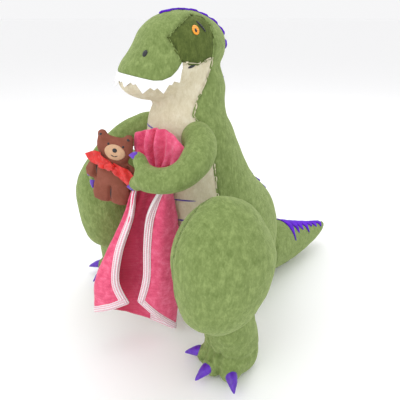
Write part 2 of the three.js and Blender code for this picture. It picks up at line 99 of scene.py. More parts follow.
def addLights():
    for name, place, size, watts in lightSettings:
        data = bpy.data.lights.new(name, "AREA")
        data.size = size
        data.energy = watts
        light = bpy.data.objects.new(name, data)
        light.location = place
        light.rotation_euler = (Vector(place) - lightsAim).to_track_quat("Z", "Y").to_euler()
        scene.collection.objects.link(light)
    world = bpy.data.worlds.new("paleRoom")
    world.use_nodes = True
    world.node_tree.nodes["Background"].inputs["Color"].default_value = linear("fbfbfc")
    world.node_tree.nodes["Background"].inputs["Strength"].default_value = 0.96
    scene.world = world
    scene.view_settings.view_transform = "Standard"


def addFloor():
    bm = bmesh.new()
    bmesh.ops.create_grid(bm, x_segments=1, y_segments=1, size=60)
    floor = finished("floor", bm, paperMaterial())
    floor.location.z = -0.0002


# materials

waveStep = 6.3      # a wave texture draws one band in this many units
turnOnce = 2 * math.pi
bindingPattern = {"ridges": 3, "stitch": 1.6, "high": "fbf1f4", "low": "eba0b4"}    # stitch in millimetres


def linear(hexColour):
    values = [int(hexColour[i:i + 2], 16) / 255 for i in (0, 2, 4)]
    return [v / 12.92 if v <= 0.04045 else ((v + 0.055) / 1.055) ** 2.4 for v in values] + [1]


def perMetre(sizeInMm):
    return 1000 / sizeInMm


def addNode(tree, kind, settings=None, links=None):
    node = tree.nodes.new("ShaderNode" + kind)
    for name, value in (settings or {}).items():
        if isinstance(name, str) and hasattr(node, name):
            setattr(node, name, value)
        else:
            node.inputs[name].default_value = value
    for name, (source, output) in (links or {}).items():
        tree.links.new(source.outputs[output], node.inputs[name])
    return node


def newMaterial(name, shader):
    material = bpy.data.materials.new(name)
    material.use_nodes = True
    for socket, value in shader.items():
        material.node_tree.nodes["Principled BSDF"].inputs[socket].default_value = value
    return material, material.node_tree


def blendColours(tree, factor, a, b):
    mix = addNode(tree, "Mix", {"data_type": "RGBA"}, {0: factor})
    for socket, value in ((6, a), (7, b)):
        if isinstance(value, tuple):
            tree.links.new(value[0].outputs[value[1]], mix.inputs[socket])
        else:
            mix.inputs[socket].default_value = value
    return mix


# The dye goes from deep through base to pale as a measure runs from low to high.
def dyed(tree, measure, low, high, deep, base, pale):
    amount = addNode(tree, "MapRange", {"From Min": low, "From Max": high}, {"Value": measure})
    ramp = addNode(tree, "ValToRGB", links={"Fac": (amount, 0)})
    ramp.color_ramp.elements[0].color = linear(deep)
    ramp.color_ramp.elements[1].color = linear(pale)
    ramp.color_ramp.elements.new(0.5).color = linear(base)
    return ramp, "Color"


def withSurface(material, colour, relief):
    surface = material.node_tree.nodes["Principled BSDF"]
    material.node_tree.links.new(colour.outputs[2], surface.inputs["Base Color"])
    material.node_tree.links.new(relief.outputs["Normal"], surface.inputs["Normal"])
    return material


# Velboa: short cut pile, sewn and then brushed. It looks dry and soft, mottled where the pile lies
# different ways, paler where it is seen edge on, and darker down in a seam, where shade is painted in.
def velboa(name, base, deep, pale, sheen):
    shader = {"Roughness": 0.92, "Specular IOR Level": 0.18, "Sheen Weight": 0.55, "Sheen Roughness": 0.42,
              "Sheen Tint": linear(sheen)}
    material, tree = newMaterial(name, shader)
    onPiece = {"Vector": (addNode(tree, "TexCoord"), "Object")}
    laid = addNode(tree, "Mapping", {"Scale": (1, 1, 0.38)}, onPiece)
    patches = addNode(tree, "TexNoise", {"Scale": perMetre(5.5), "Detail": 4, "Roughness": 0.7},
                      onPiece)
    strokes = addNode(tree, "TexNoise", {"Scale": perMetre(2.6), "Detail": 3, "Distortion": 0.8},
                      {"Vector": (laid, "Vector")})
    tufts = addNode(tree, "TexNoise", {"Scale": perMetre(0.9), "Detail": 3, "Roughness": 0.7},
                    {"Vector": (laid, "Vector")})   # the pile is 0.2 mm, drawn coarser to show
    lie = addNode(tree, "Math", {"operation": "MULTIPLY_ADD", 1: 0.8},
                  {0: (strokes, "Fac"), 2: (patches, "Fac")})
    lieMore = addNode(tree, "Math", {"operation": "MULTIPLY_ADD", 1: 0.6},
                      {0: (tufts, "Fac"), 2: (lie, 0)})
    pile = dyed(tree, (lieMore, 0), 0.68, 1.72, deep, base, pale)
    # painted shade: the colour is darkened down in seam grooves and toe folds, by the attribute set where the skin
    # is pulled in
    seam = addNode(tree, "Attribute", {"attribute_name": "seam"})
    shade = addNode(tree, "Math", {"operation": "MULTIPLY", 1: 0.4}, {0: (seam, "Fac")})
    dark = [0.35 * v for v in linear(deep)[:3]] + [1]
    colour = blendColours(tree, (shade, 0), pile, dark)
    soft = addNode(tree, "Bump", {"Strength": 0.5, "Distance": 0.0009}, {"Height": (strokes, "Fac")})
    fuzz = addNode(tree, "Bump", {"Strength": 0.75, "Distance": 0.0006},
                   {"Height": (tufts, "Fac"), "Normal": (soft, "Normal")})
    return withSurface(material, colour, fuzz)


# Wool felt: pressed loose fibres, flat and matt, faintly flecked, with no weave.
def felt(name, base, flecks, sheen):
    shader = {"Roughness": 0.9, "Specular IOR Level": 0.2, "Sheen Weight": 0.25, "Sheen Roughness": 0.5,
              "Sheen Tint": linear(sheen)}
    material, tree = newMaterial(name, shader)
    onPiece = {"Vector": (addNode(tree, "TexCoord"), "Object")}
    matted = addNode(tree, "TexNoise", {"Scale": perMetre(1.1), "Detail": 5, "Roughness": 0.75,
                     "Distortion": 1.5}, onPiece)
    cloud = addNode(tree, "TexNoise", {"Scale": perMetre(9), "Detail": 2}, onPiece)
    both = addNode(tree, "Math", {"operation": "MULTIPLY"}, {0: (matted, "Fac"), 1: (cloud, "Fac")})
    amount = addNode(tree, "MapRange", {"From Min": 0.12, "From Max": 0.42}, {"Value": (both, 0)})
    colour = blendColours(tree, (amount, 0), linear(base), linear(flecks))
    bump = addNode(tree, "Bump", {"Strength": 0.45, "Distance": 0.0004}, {"Height": (matted, "Fac")})
    return withSurface(material, colour, bump)


# Polyester satin: long floats give a bright band across a dark cloth, with small creases from the seam. The colour
# is painted darker down in the crease hollows, as painted shade.
def satin(name, base, deep, crease):
    shader = {"Roughness": 0.34, "Specular IOR Level": 0.6, "Sheen Weight": 0.15, "Anisotropic": 0.5}
    material, tree = newMaterial(name, shader)
    onPiece = {"Vector": (addNode(tree, "TexCoord"), "Object")}
    creases = addNode(tree, "TexNoise", {"Scale": perMetre(crease), "Detail": 2, "Distortion": 1},
                      onPiece)
    weave = addNode(tree, "TexWave", {"Scale": perMetre(0.5) / waveStep, "Distortion": 0.6,
                    "bands_direction": "DIAGONAL"}, onPiece)
    # painted shade: the deep colour follows the low parts of the crease noise that also drives the bump
    colour = blendColours(tree, (creases, "Fac"), linear(deep), linear(base))
    folds = addNode(tree, "Bump", {"Strength": 0.7, "Distance": 0.001}, {"Height": (creases, "Fac")})
    floats = addNode(tree, "Bump", {"Strength": 0.15, "Distance": 0.0002},
                     {"Height": (weave, "Fac"), "Normal": (folds, "Normal")})
    return withSurface(material, colour, floats)


# Polar fleece: a brushed knit. The knit shows as fine ribs under a cloudy nap.
def fleece(name, base, deep, pale, inside):
    shader = {"Roughness": 0.88, "Specular IOR Level": 0.2, "Sheen Weight": 0.6, "Sheen Roughness": 0.45,
              "Sheen Tint": linear("ffc4d4")}
    material, tree = newMaterial(name, shader)
    onPiece = {"Vector": (addNode(tree, "TexCoord"), "Object")}
    clouds = addNode(tree, "TexNoise", {"Scale": perMetre(5), "Detail": 5, "Roughness": 0.65}, onPiece)
    fuzz = addNode(tree, "TexNoise", {"Scale": perMetre(0.8), "Detail": 3}, onPiece)
    ribs = addNode(tree, "TexWave", {"Scale": perMetre(1.4) / waveStep, "Distortion": 1.2, "Detail": 1,
                   "bands_direction": "Z"}, onPiece)
    both = addNode(tree, "Math", {"operation": "MULTIPLY_ADD", 1: 0.3},
                   {0: (fuzz, "Fac"), 2: (clouds, "Fac")})
    nap = dyed(tree, (both, 0), 0.42, 0.86, deep, base, pale)
    # painted shadow: where the inner attribute is high, the colour turns to the darker inside colour, as the
    # shadow in the folds under the arm
    inner = addNode(tree, "Attribute", {"attribute_name": "inner"})
    colour = blendColours(tree, (inner, "Fac"), nap, linear(inside))
    knit = addNode(tree, "Bump", {"Strength": 0.25, "Distance": 0.0005}, {"Height": (ribs, "Fac")})
    brushed = addNode(tree, "Bump", {"Strength": 0.5, "Distance": 0.0006},
                      {"Height": (fuzz, "Fac"), "Normal": (knit, "Normal")})
    return withSurface(material, colour, brushed)


# Satin-edged binding, stitched along three lines: pale ridges with the pink of the fleece between them.
def binding():
    shader = {"Roughness": 0.45, "Specular IOR Level": 0.5, "Sheen Weight": 0.3}
    material, tree = newMaterial("stitchedBinding", shader)
    uv = addNode(tree, "UVMap", {"uv_map": "UVMap"})
    split = addNode(tree, "SeparateXYZ", links={"Vector": (uv, "UV")})
    across = addNode(tree, "Math", {"operation": "MULTIPLY", 1: bindingPattern["ridges"] * turnOnce},
                     {0: (split, "Y")})
    ridge = addNode(tree, "Math", {"operation": "COSINE"}, {0: (across, 0)})
    along = addNode(tree, "Math", {"operation": "MULTIPLY", 1: turnOnce / bindingPattern["stitch"]},
                    {0: (split, "X")})
    stitch = addNode(tree, "Math", {"operation": "SINE"}, {0: (along, 0)})
    onPiece = {"Vector": (addNode(tree, "TexCoord"), "Object")}
    wear = addNode(tree, "TexNoise", {"Scale": perMetre(3), "Detail": 3}, onPiece)
    height = addNode(tree, "Math", {"operation": "MULTIPLY_ADD", 1: 0.3}, {0: (stitch, 0), 2: (ridge, 0)})
    mixed = addNode(tree, "Math", {"operation": "ADD"}, {0: (height, 0), 1: (wear, "Fac")})
    amount = addNode(tree, "MapRange", {"From Min": -0.6, "From Max": 1.1}, {"Value": (mixed, 0)})
    colour = blendColours(tree, (amount, 0), linear(bindingPattern["low"]), linear(bindingPattern["high"]))
    bump = addNode(tree, "Bump", {"Strength": 0.6, "Distance": 0.0005}, {"Height": (height, 0)})
    return withSurface(material, colour, bump)


# Embroidery: rayon threads side by side, each a shiny ridge, with painted shade darkening the grooves between
# them.
def embroidery(name, base, deep):
    shader = {"Roughness": 0.42, "Specular IOR Level": 0.5, "Sheen Weight": 0.2}
    material, tree = newMaterial(name, shader)
    onPiece = {"Vector": (addNode(tree, "TexCoord"), "Object")}
    threads = addNode(tree, "TexWave", {"Scale": perMetre(0.6) / waveStep, "Distortion": 0.5,
                      "bands_direction": "Z"}, onPiece)
    # painted shade: the deep colour lies in the low parts of the thread waves, between the ridges
    colour = blendColours(tree, (threads, "Fac"), linear(deep), linear(base))
    bump = addNode(tree, "Bump", {"Strength": 0.6, "Distance": 0.0003}, {"Height": (threads, "Fac")})
    return withSurface(material, colour, bump)


# Plain matt paper, so the dinosaur stands on white with only its own shadow.
def paperMaterial():
    return newMaterial("whitePaper", {"Roughness": 0.8, "Base Color": linear("fdfdfd")})[0]


greenVelboa = velboa("greenVelboa", "7d8f54", "5b6f35", "9fb170", "c4d09a")
darkVelboa = velboa("darkGreenVelboa", "55632f", "3a4820", "727f44", "9fab72")
creamVelboa = velboa("creamVelboa", "d8cfb4", "c6ba9a", "e9e3cf", "fff2d8")
whiteFelt = felt("whiteFelt", "f4f5fa", "ffffff", "ffffff")
purpleFelt = felt("purpleFelt", "4d17a8", "6f2ce0", "9a6cff")
brownFelt = felt("brownFelt", "7c4636", "94594a", "c08c78")
tanFelt = felt("tanFelt", "c39a78", "d8b392", "ecd0b4")
purpleSatin = satin("purpleSatin", "6a1cd0", "3d0a86", 5)
redSatin = satin("redSatin", "f0241a", "b50d0c", 4)
# the last colour of the blanket fleece is its painted fold shadow, not a second cloth
pinkFleece = fleece("pinkFleece", "e4587c", "d0446a", "f2799a", "c63a55")
paleBinding = binding()
orangeThread = embroidery("orangeThread", "ffae24", "e88a10")
blackThread = embroidery("blackThread", "161b26", "07090e")
purpleThread = embroidery("purpleThread", "5f3fae", "43268c")


# making shapes

def finished(name, bm, material):
    mesh = bpy.data.meshes.new(name)
    bm.to_mesh(mesh)
    bm.free()
    mesh.materials.append(material)
    mesh.shade_smooth()
    piece = bpy.data.objects.new(name, mesh)
    scene.collection.objects.link(piece)
    return piece


def settled(piece):
    graph = bpy.context.evaluated_depsgraph_get()
    mesh = bpy.data.meshes.new_from_object(piece.evaluated_get(graph))
    piece.modifiers.clear()
    piece.data = mesh
    return piece


def opened(piece):
    bm = bmesh.new()
    bm.from_mesh(piece.data)
    return bm


def closed(piece, bm):
    bm.to_mesh(piece.data)
    bm.free()
    piece.data.shade_smooth()


# Hides the frame nodes a piece stands for and ties it to the body it moves with; a piece given two bodies is fixed
# in place instead.
def declared(piece, body, nodes=()):
    if nodes:
        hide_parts(*nodes)
    if isinstance(body, tuple):
        settled(piece)
        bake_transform(piece)
    else:
        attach(piece, body)
    return piece


# Which step of a grid a point is on, with so many steps each way.
def gridStep(vert, wide, tall=1):
    return round((vert.co.x + 1) / 2 * wide), round((vert.co.y + 1) / 2 * tall)


def lengthsAlong(points, unit=1):
    walked = [0]
    for a, b in zip(points, points[1:]):
        walked.append(walked[-1] + (b - a).length / unit)
    return walked


def smoothed(points, steps):
    path = []
    for i in range(len(points) - 1):
        a, b = points[i], points[i + 1]
        before, after = points[max(i - 1, 0)], points[min(i + 2, len(points) - 1)]
        path += interpolate_bezier(a, a + (b - before) / 6, b - (after - a) / 6, b, steps + 1)[:-1]
    return path + [points[-1]]


# A row is x, y, z, half width, half depth and turn, in millimetres and degrees.
def addTube(bm, rows, around=28, steps=5, place=patternPlace):
    rows = [list(row) + [0] * (6 - len(row)) for row in rows]
    spine = smoothed([Vector(row[:3]) for row in rows], steps)
    sizes = smoothed([Vector(row[3:6]) for row in rows], steps)
    loops = []
    last = len(spine) - 1
    for i, (centre, size) in enumerate(zip(spine, sizes)):
        ahead = (spine[min(i + 1, last)] - spine[max(i - 1, 0)]).normalized()
        side = Vector((1, 0, 0)) - ahead * ahead.x
        if side.length < 0.3:
            side = Vector((0, 1, 0)) - ahead * ahead.y
        side.normalize()
        side.rotate(Quaternion(ahead, math.radians(size.z)))
        across = ahead.cross(side)
        ring = Matrix((side * size.x, across * size.y, ahead)).transposed().to_4x4()
        ring.translation = centre
        made = bmesh.ops.create_circle(bm, segments=around, radius=1, matrix=place @ ring)["verts"]
        loops.append(list(dict.fromkeys(edge for vert in made for edge in vert.link_edges)))
    for a, b in zip(loops, loops[1:]):
        bmesh.ops.bridge_loops(bm, edges=a + b)
    for end in (loops[0], loops[-1]):
        bmesh.ops.contextual_create(bm, geom=end)


def addBall(bm, centre, sizes, place, turn):
    matrix = place @ Matrix.Translation(centre) @ turn @ Matrix.Diagonal((*sizes, 1))
    bmesh.ops.create_uvsphere(bm, u_segments=32, v_segments=20, radius=1, matrix=matrix)


# Tubes and balls become one skin, with cells so many millimetres across, and are smoothed so many times.
def fused(name, bm, voxel, smoothing, material=greenVelboa):
    bmesh.ops.recalc_face_normals(bm, faces=bm.faces)
    piece = finished(name, bm, material)
    remesh = piece.modifiers.new("cloth", "REMESH")
    remesh.mode = "VOXEL"
    remesh.voxel_size = voxel * mm
    even = piece.modifiers.new("even", "SMOOTH")
    even.factor = 0.5
    even.iterations = smoothing
    return settled(piece)


fillingFrames = 20


# The filling pushes the skin out between its seams, where it is held, by no more than the cap in millimetres.
def filled(piece, held, cap, pressure):
    rest = [vert.co.copy() for vert in piece.data.vertices]
    group = piece.vertex_groups.new(name="sewn")
    for i, amount in held.items():
        group.add([i], amount, "REPLACE")
    cloth = piece.modifiers.new("filling", "CLOTH")
    cloth.settings.use_pressure = True
    cloth.settings.uniform_pressure_force = pressure
    cloth.settings.vertex_group_mass = "sewn"
    cloth.settings.effector_weights.gravity = 0
    cloth.collision_settings.use_collision = False
    cloth.point_cache.frame_start = 1
    cloth.point_cache.frame_end = fillingFrames
    for number in range(1, fillingFrames + 1):
        scene.frame_set(number)
    settled(piece)
    scene.frame_set(1)
    for vert, start in zip(piece.data.vertices, rest):
        move = vert.co - start
        if move.length > cap * mm:
            vert.co = start + move.normalized() * cap * mm
    piece.vertex_groups.clear()
    return piece


def finer(piece):
    detail = piece.modifiers.new("finer", "SUBSURF")
    detail.levels = 1
    detail.render_levels = 1
    return settled(piece)


def fromLine(point, a, b):
    foot, share = intersect_point_line(point, a, b)
    foot = a if share < 0 else b if share > 1 else foot
    return (point - foot).length


# How far a point is inside a closed outline, in millimetres, and less than nought outside.
def insideBy(outline, u, v):
    point = Vector((u, v, 0))
    best, inside = 1e9, False
    for (au, av), (bu, bv) in zip(outline, outline[1:] + outline[:1]):
        best = min(best, fromLine(point, Vector((au, av, 0)), Vector((bu, bv, 0))))
        if (av > v) != (bv > v) and u < (bu - au) * (v - av) / (bv - av) + au:
            inside = not inside
    return best if inside else -best


onSeam = 0.02       # a point this near a seam, in millimetres, counts as beside it and isn't split from it


# Cuts the skin along the line where a measure is nought, where it applies, and gives the points on it.
def drawSeam(bm, measure, applies=lambda point: True):
    values = {}
    for vert in bm.verts:
        value = measure(vert.co)
        values[vert] = value if abs(value) > onSeam else onSeam
    crossed = [edge for edge in bm.edges if values[edge.verts[0]] * values[edge.verts[1]] < 0
               and applies((edge.verts[0].co + edge.verts[1].co) / 2)]
    made = []
    for edge in crossed:
        a, b = edge.verts
        made.append(bmesh.utils.edge_split(edge, a, values[a] / (values[a] - values[b]))[1])
    bmesh.ops.connect_verts(bm, verts=made)
    return made


seamPattern = {
    # depth, width and pucker
    "body": (1.0, 1.5, 0.35), "thigh": (1.5, 1.4, 0.6), "arm": (0, 1, 0),
    "reach": 6, "ripple": 5, "lump": 14, "lumpHeight": 0.5, "far": 99,
}
lowest = 0.0004     # metres above the floor


# Pulls the skin in beside its seams, leaves it a little uneven, and marks how near each point is to a seam, as
# painted shade that darkens the groove.
# A point right on the thread counts as far off, so the cloth dips either side of it.
def sewn(bm, seams, depth, width, pucker):
    tree = KDTree(max(len(seams), 1))
    for i, vert in enumerate(seams):
        tree.insert(vert.co, i)
    tree.balance()
    bm.normal_update()
    layer = bm.verts.layers.float.get("seam") or bm.verts.layers.float.new("seam")
    moves = []
    for vert in bm.verts:
        distance = (tree.find(vert.co)[2] or 1) / mm if seams else seamPattern["far"]
        near = math.exp(-(distance / width) ** 2)
        wide = math.exp(-(distance / seamPattern["reach"]) ** 2)
        ripple = noise.noise(vert.co * perMetre(seamPattern["ripple"])) * wide * pucker
        lump = noise.noise(vert.co * perMetre(seamPattern["lump"]) + Vector((3, 1, 2)))
        unevenness = lump * seamPattern["lumpHeight"]
        moves.append(-vert.normal * (near * depth + ripple - unevenness) * mm)
        # painted shade: the groove's darkening is stored on each point
        vert[layer] = near
    for vert, move in zip(bm.verts, moves):
        vert.co += move
        vert.co.z = max(vert.co.z, lowest)


def thickened(piece, thickness, offset=-1):
    wall = piece.modifiers.new("thickness", "SOLIDIFY")
    wall.thickness = thickness * mm
    wall.offset = offset
    return piece


# One panel of a skin, cut out with the rest left behind, with its rim kept crisp.
def panelOf(skin, name, material, chosen):
    bm = skin.copy()
    bm.faces.ensure_lookup_table()
    away = [face for face in bm.faces if not chosen[face.index]]
    bmesh.ops.delete(bm, geom=away, context="FACES")
    for edge in bm.edges:
        edge.smooth = not edge.is_boundary
    return thickened(finished(name, bm, material), 1.2)


# the body: one skin over torso, neck, head and tail, cut to the panels of the pattern

bodyPattern = {
    "torso": [
        (0, 96, 10, 12, 14), (0, 90, 24, 33, 44), (0, 80, 48, 45, 60), (0, 68, 76, 48.5, 67),
        (0, 52, 106, 48.5, 59), (0, 41, 137, 44, 49), (0, 33.5, 168, 38.5, 41.5),
        (0, 29, 193, 34, 36), (0, 31, 211, 27.5, 30.5), (0, 32, 224, 25.5, 30), (0, 29, 240, 21, 25)],
    "head": [
        (0, 24, 16, 9, 14), (0, 17, 22.5, 20.5, 26.5), (0, 5, 27, 26.5, 30.5), (0, -10, 26.5, 29, 31),
        (0, -24, 17.8, 29, 26.5), (0, -36, 13, 26.5, 20.5), (0, -46, 11.5, 21.5, 14.5), (0, -51, 11.5, 15, 9.5),
        (0, -53.5, 11.5, 7.5, 5)],
    "tail": [
        (0, 104, 40, 28, 34), (0, 128, 36, 26.5, 31), (0, 150, 32, 23.5, 30.5), (0, 178, 26.5, 19.5, 25.5),
        (0, 206, 23.5, 15, 19.5), (0, 232, 22.5, 10, 12.5), (0, 250, 24, 6, 7), (0, 257, 26, 2.5, 3)],
    "belly": [
        (0, 30), (20, 36), (34, 66), (60, 92), (60, 216), (-60, 216), (-60, 92), (-34, 66), (-20, 36)],
    "bellySide": [
        (-80, 20), (34, 20), (34, 66), (29, 102), (26, 137), (24, 169), (19, 194), (13, 204), (11, 210),
        (12, 226), (-80, 226)],
    "lip": [(-80, 14.5), (-52, 13.5), (-40, 10.5), (-33, 9), (-27, 10), (-22, 12.5), (-17.5, 17), (-14, 22.5)],
    "jawRear": [(0, 21), (14, 24.5), (13, 16), (8, 6), (0, -5), (-7, -20), (-80, -20)],
    "cheek": [(-23, 40), (-16, 45.5), (-8, 51), (0, 55), (9, 54), (14.5, 48), (15, 34), (14, 22), (0, 18),
              (-13, 19)],
    "cheekInner": 12,
    "snoutRear": [(-15, 41), (-24, 70), (-80, 70)],
    "neckLow": 193, "neckHigh": 215, "tailSeam": 131, "tailBlend": 150,
    "cell": 3.2, "evened": 4, "held": 6, "cap": 4, "pressure": 8,
}
jawOutline = bodyPattern["lip"] + bodyPattern["jawRear"]
snoutOutline = bodyPattern["lip"] + bodyPattern["snoutRear"]
headPlanePoint, headPlaneTilt = Vector((0, -30, -9)), Vector((0, -0.254, 0.967))


def headPart(point):
    return (fromHead @ point - headPlanePoint).dot(headPlaneTilt)


def creamPart(point):
    p, q = fromPattern @ point, fromHead @ point
    belly = min(insideBy(bodyPattern["belly"], p.x, p.z), insideBy(bodyPattern["bellySide"], p.y, p.z))
    jaw = min(insideBy(jawOutline, q.y, q.z), p.z - 205)
    return max(belly, jaw)


def cheekPart(point):
    q = fromHead @ point
    if q.z < 10:
        return -50
    return min(insideBy(bodyPattern["cheek"], q.y, q.z), abs(q.x) - bodyPattern["cheekInner"])


def snoutPart(point):
    q = fromHead @ point
    return insideBy(snoutOutline, q.y, q.z) if q.z > 4 else -50


def sidePart(point):
    p = fromPattern @ point
    return (fromHead @ point).x if headPart(point) > 0 else p.x


def neckPart(point):
    return (fromPattern @ point).z - bodyPattern["neckLow"]


def tailPart(point):
    return (fromPattern @ point).y - bodyPattern["tailSeam"]


def bodySkin():
    bm = bmesh.new()
    addTube(bm, bodyPattern["torso"])
    addTube(bm, bodyPattern["tail"])
    addTube(bm, bodyPattern["head"], place=headPlace)
    skin = fused("bodySkin", bm, bodyPattern["cell"], bodyPattern["evened"])
    held = {}
    reach = bodyPattern["held"]     # held this near a seam, and this near the floor
    for vert in skin.data.vertices:
        nearest = min(abs(creamPart(vert.co)), abs(cheekPart(vert.co)), abs(tailPart(vert.co)))
        if nearest < reach:
            held[vert.index] = min(1, 1.25 - nearest / reach)
        if (fromPattern @ vert.co).z < reach:
            held[vert.index] = 1
    print("body skin", len(skin.data.vertices), "held", len(held))
    return finer(filled(skin, held, bodyPattern["cap"], bodyPattern["pressure"]))


def cutBody(skin):
    bm = opened(skin)
    bpy.data.objects.remove(skin)
    for plane in (headPart, neckPart, tailPart):
        drawSeam(bm, plane)
    seams = drawSeam(bm, creamPart)
    seams += drawSeam(bm, cheekPart, lambda point: headPart(point) > 0 and creamPart(point) < 0.01)
    drawSeam(bm, snoutPart, lambda point: headPart(point) > 0 and creamPart(point) < 0.01
             and cheekPart(point) < 0.01 and (fromHead @ point).y > -30)   # brushed over, so it doesn't show
    drawSeam(bm, sidePart, lambda point: creamPart(point) < 0.01 and cheekPart(point) < 0.01
             and snoutPart(point) < 0.01)
    seams += [vert for vert in bm.verts if abs(sidePart(vert.co)) < onSeam * mm
              or abs(tailPart(vert.co)) < onSeam]
    kinds = panelKinds(bm)
    sewn(bm, seams, *seamPattern["body"])
    return bm, kinds


# Which part and which cloth each face of the cut skin belongs to.
def panelKinds(bm):
    kinds = {}
    bm.faces.index_update()
    for face in bm.faces:
        centre = face.calc_center_median()
        part = ("head" if headPart(centre) > 0 else "tail" if tailPart(centre) > 0
                else "neck" if neckPart(centre) > 0 else "torso")
        if creamPart(centre) > 0 and part != "tail":
            cloth = "cream"
        elif part == "head" and cheekPart(centre) > 0:
            cloth = "cheekLeft" if sidePart(centre) > 0 else "cheekRight"
        elif part == "head" and snoutPart(centre) > 0:
            cloth = "snout"
        elif part == "head":
            cloth = "crown"
        else:
            cloth = "left" if sidePart(centre) > 0 else "right"
        kinds.setdefault((part, cloth), set()).add(face.index)
    return kinds


def bodyPanels(bm, kinds):
    for (part, cloth), faces in sorted(kinds.items()):
        print("panel", part, cloth, len(faces))
    chosen = {key: [i in faces for i in range(len(bm.faces))] for key, faces in kinds.items()}
    plan = [
        # name, panels, material, slot, frame nodes it stands for, body or the two bodies it lies between
        ("bellyPanel", ("torso", "cream"), creamVelboa, "plush_cream", ("belly_panel",), "torso"),
        ("sidePanelLeft", ("torso", "left"), greenVelboa, "plush_green",
         ("side_panel_left", "torso_stuffing", "pellet_bag"), "torso"),
        ("sidePanelRight", ("torso", "right"), greenVelboa, "plush_green", ("side_panel_right",), "torso"),
        ("throatPanel", ("neck", "cream"), creamVelboa, "plush_cream", ("neck_stuffing",), ("torso", "neck")),
        ("napePanelLeft", ("neck", "left"), greenVelboa, "plush_green", (), ("torso", "neck")),
        ("napePanelRight", ("neck", "right"), greenVelboa, "plush_green", (), ("torso", "neck")),
        ("jawPanel", ("head", "cream"), creamVelboa, "plush_cream", ("jaw_panel",), ("neck", "head")),
        ("snoutPanel", ("head", "snout"), greenVelboa, "plush_green", ("snout_panel",), "head"),
        ("cheekPanelLeft", ("head", "cheekLeft"), darkVelboa, "plush_dark_green", ("cheek_panel_left",),
         "head"),
        ("cheekPanelRight", ("head", "cheekRight"), darkVelboa, "plush_dark_green", ("cheek_panel_right",),
         "head"),
        ("crownPanel", ("head", "crown"), greenVelboa, "plush_green", ("crown_panel", "head_stuffing"),
         ("neck", "head")),
        ("tailPanelLeft", ("tail", "left"), greenVelboa, "plush_green", ("tail_panel_left", "tail_stuffing"),
         ("torso", "tail")),
        ("tailPanelRight", ("tail", "right"), greenVelboa, "plush_green", ("tail_panel_right",),
         ("torso", "tail")),
    ]
    for name, key, material, slotName, nodes, body in plan:
        declared(panelOf(bm, name, material, chosen[key]), body, nodes)
    bm.free()


# legs

legPattern = {
    "hips": {"left": (82, -7, 103), "right": (-79, 1, 105)},
    "ankles": {"left": (78, 6, 41), "right": (-107, 13, 41)},
    "turns": {"left": 0, "right": -45},
    "thigh": [(0, 3, -44, 9, 10), (0, 1, -41.5, 19, 22), (0, 0, -35, 26, 30), (0, -2, -22, 31.5, 36),
              (0, -1, -6, 35, 39.5), (0, 1, 12, 36, 42), (0, 6, 28, 32, 38), (0, 12, 40, 23, 29),
              (0, 17, 47, 13, 17), (0, 19, 50, 5, 6)],
    "seams": {"left": 70, "right": -93}, "face": 46.5,
    "shank": [(0, -2, 33, 9, 9), (0, -1, 29, 16, 16), (0, 0, 18, 20.5, 20.5), (0, 1, 4, 21.5, 21.5),
              (0, 2, -10, 22.5, 22.5), (0, 3, -24, 22.5, 23.5), (0, 3, -33, 21, 22), (0, 3, -39.5, 17, 18)],
    "leans": {"left": (4, -9), "right": (17, 6)},
    "toeReach": 17, "toeSpread": 42, "toe": (10.2, 12, 9.4), "toeHeight": -31,
    "thighCell": 3.2, "thighEvened": 3, "cap": 3, "pressure": 8, "footCell": 2.2, "footEvened": 2,
}


# The inner side of a thigh lies flat, where it is sewn to the body.
def flattened(verts, face, sign):
    for vert in verts:
        x = (fromPattern @ vert.co).x
        if (x - face) * sign < 0:
            vert.co.x += (face - x) * mm


def thigh(side, sign):
    place = patternPlace @ Matrix.Translation(legPattern["hips"][side])
    bm = bmesh.new()
    addTube(bm, legPattern["thigh"], around=36, steps=4, place=place)
    piece = fused("thigh" + side.capitalize(), bm, legPattern["thighCell"], legPattern["thighEvened"])
    face = (legPattern["face"] + 0.4) * sign
    flattened(piece.data.vertices, face, sign)
    seamAt = legPattern["seams"][side]
    held = {}
    for vert in piece.data.vertices:
        x = (fromPattern @ vert.co).x
        if abs(x - seamAt) < 4 or (x - face) * sign < 1:
            held[vert.index] = 1
    finer(filled(piece, held, legPattern["cap"], legPattern["pressure"]))
    bm = opened(piece)
    line = drawSeam(bm, lambda point: (fromPattern @ point).x - seamAt)
    sewn(bm, line, *seamPattern["thigh"])
    flattened(bm.verts, face, sign)
    closed(piece, bm)
    declared(piece, "leg_" + side, ("thigh_skin_" + side, "thigh_stuffing_" + side))


def toeCentre(step):
    angle = math.radians(step * legPattern["toeSpread"])
    reach = legPattern["toeReach"]
    return Vector((reach * math.sin(angle), 2 - reach * math.cos(angle), legPattern["toeHeight"]))


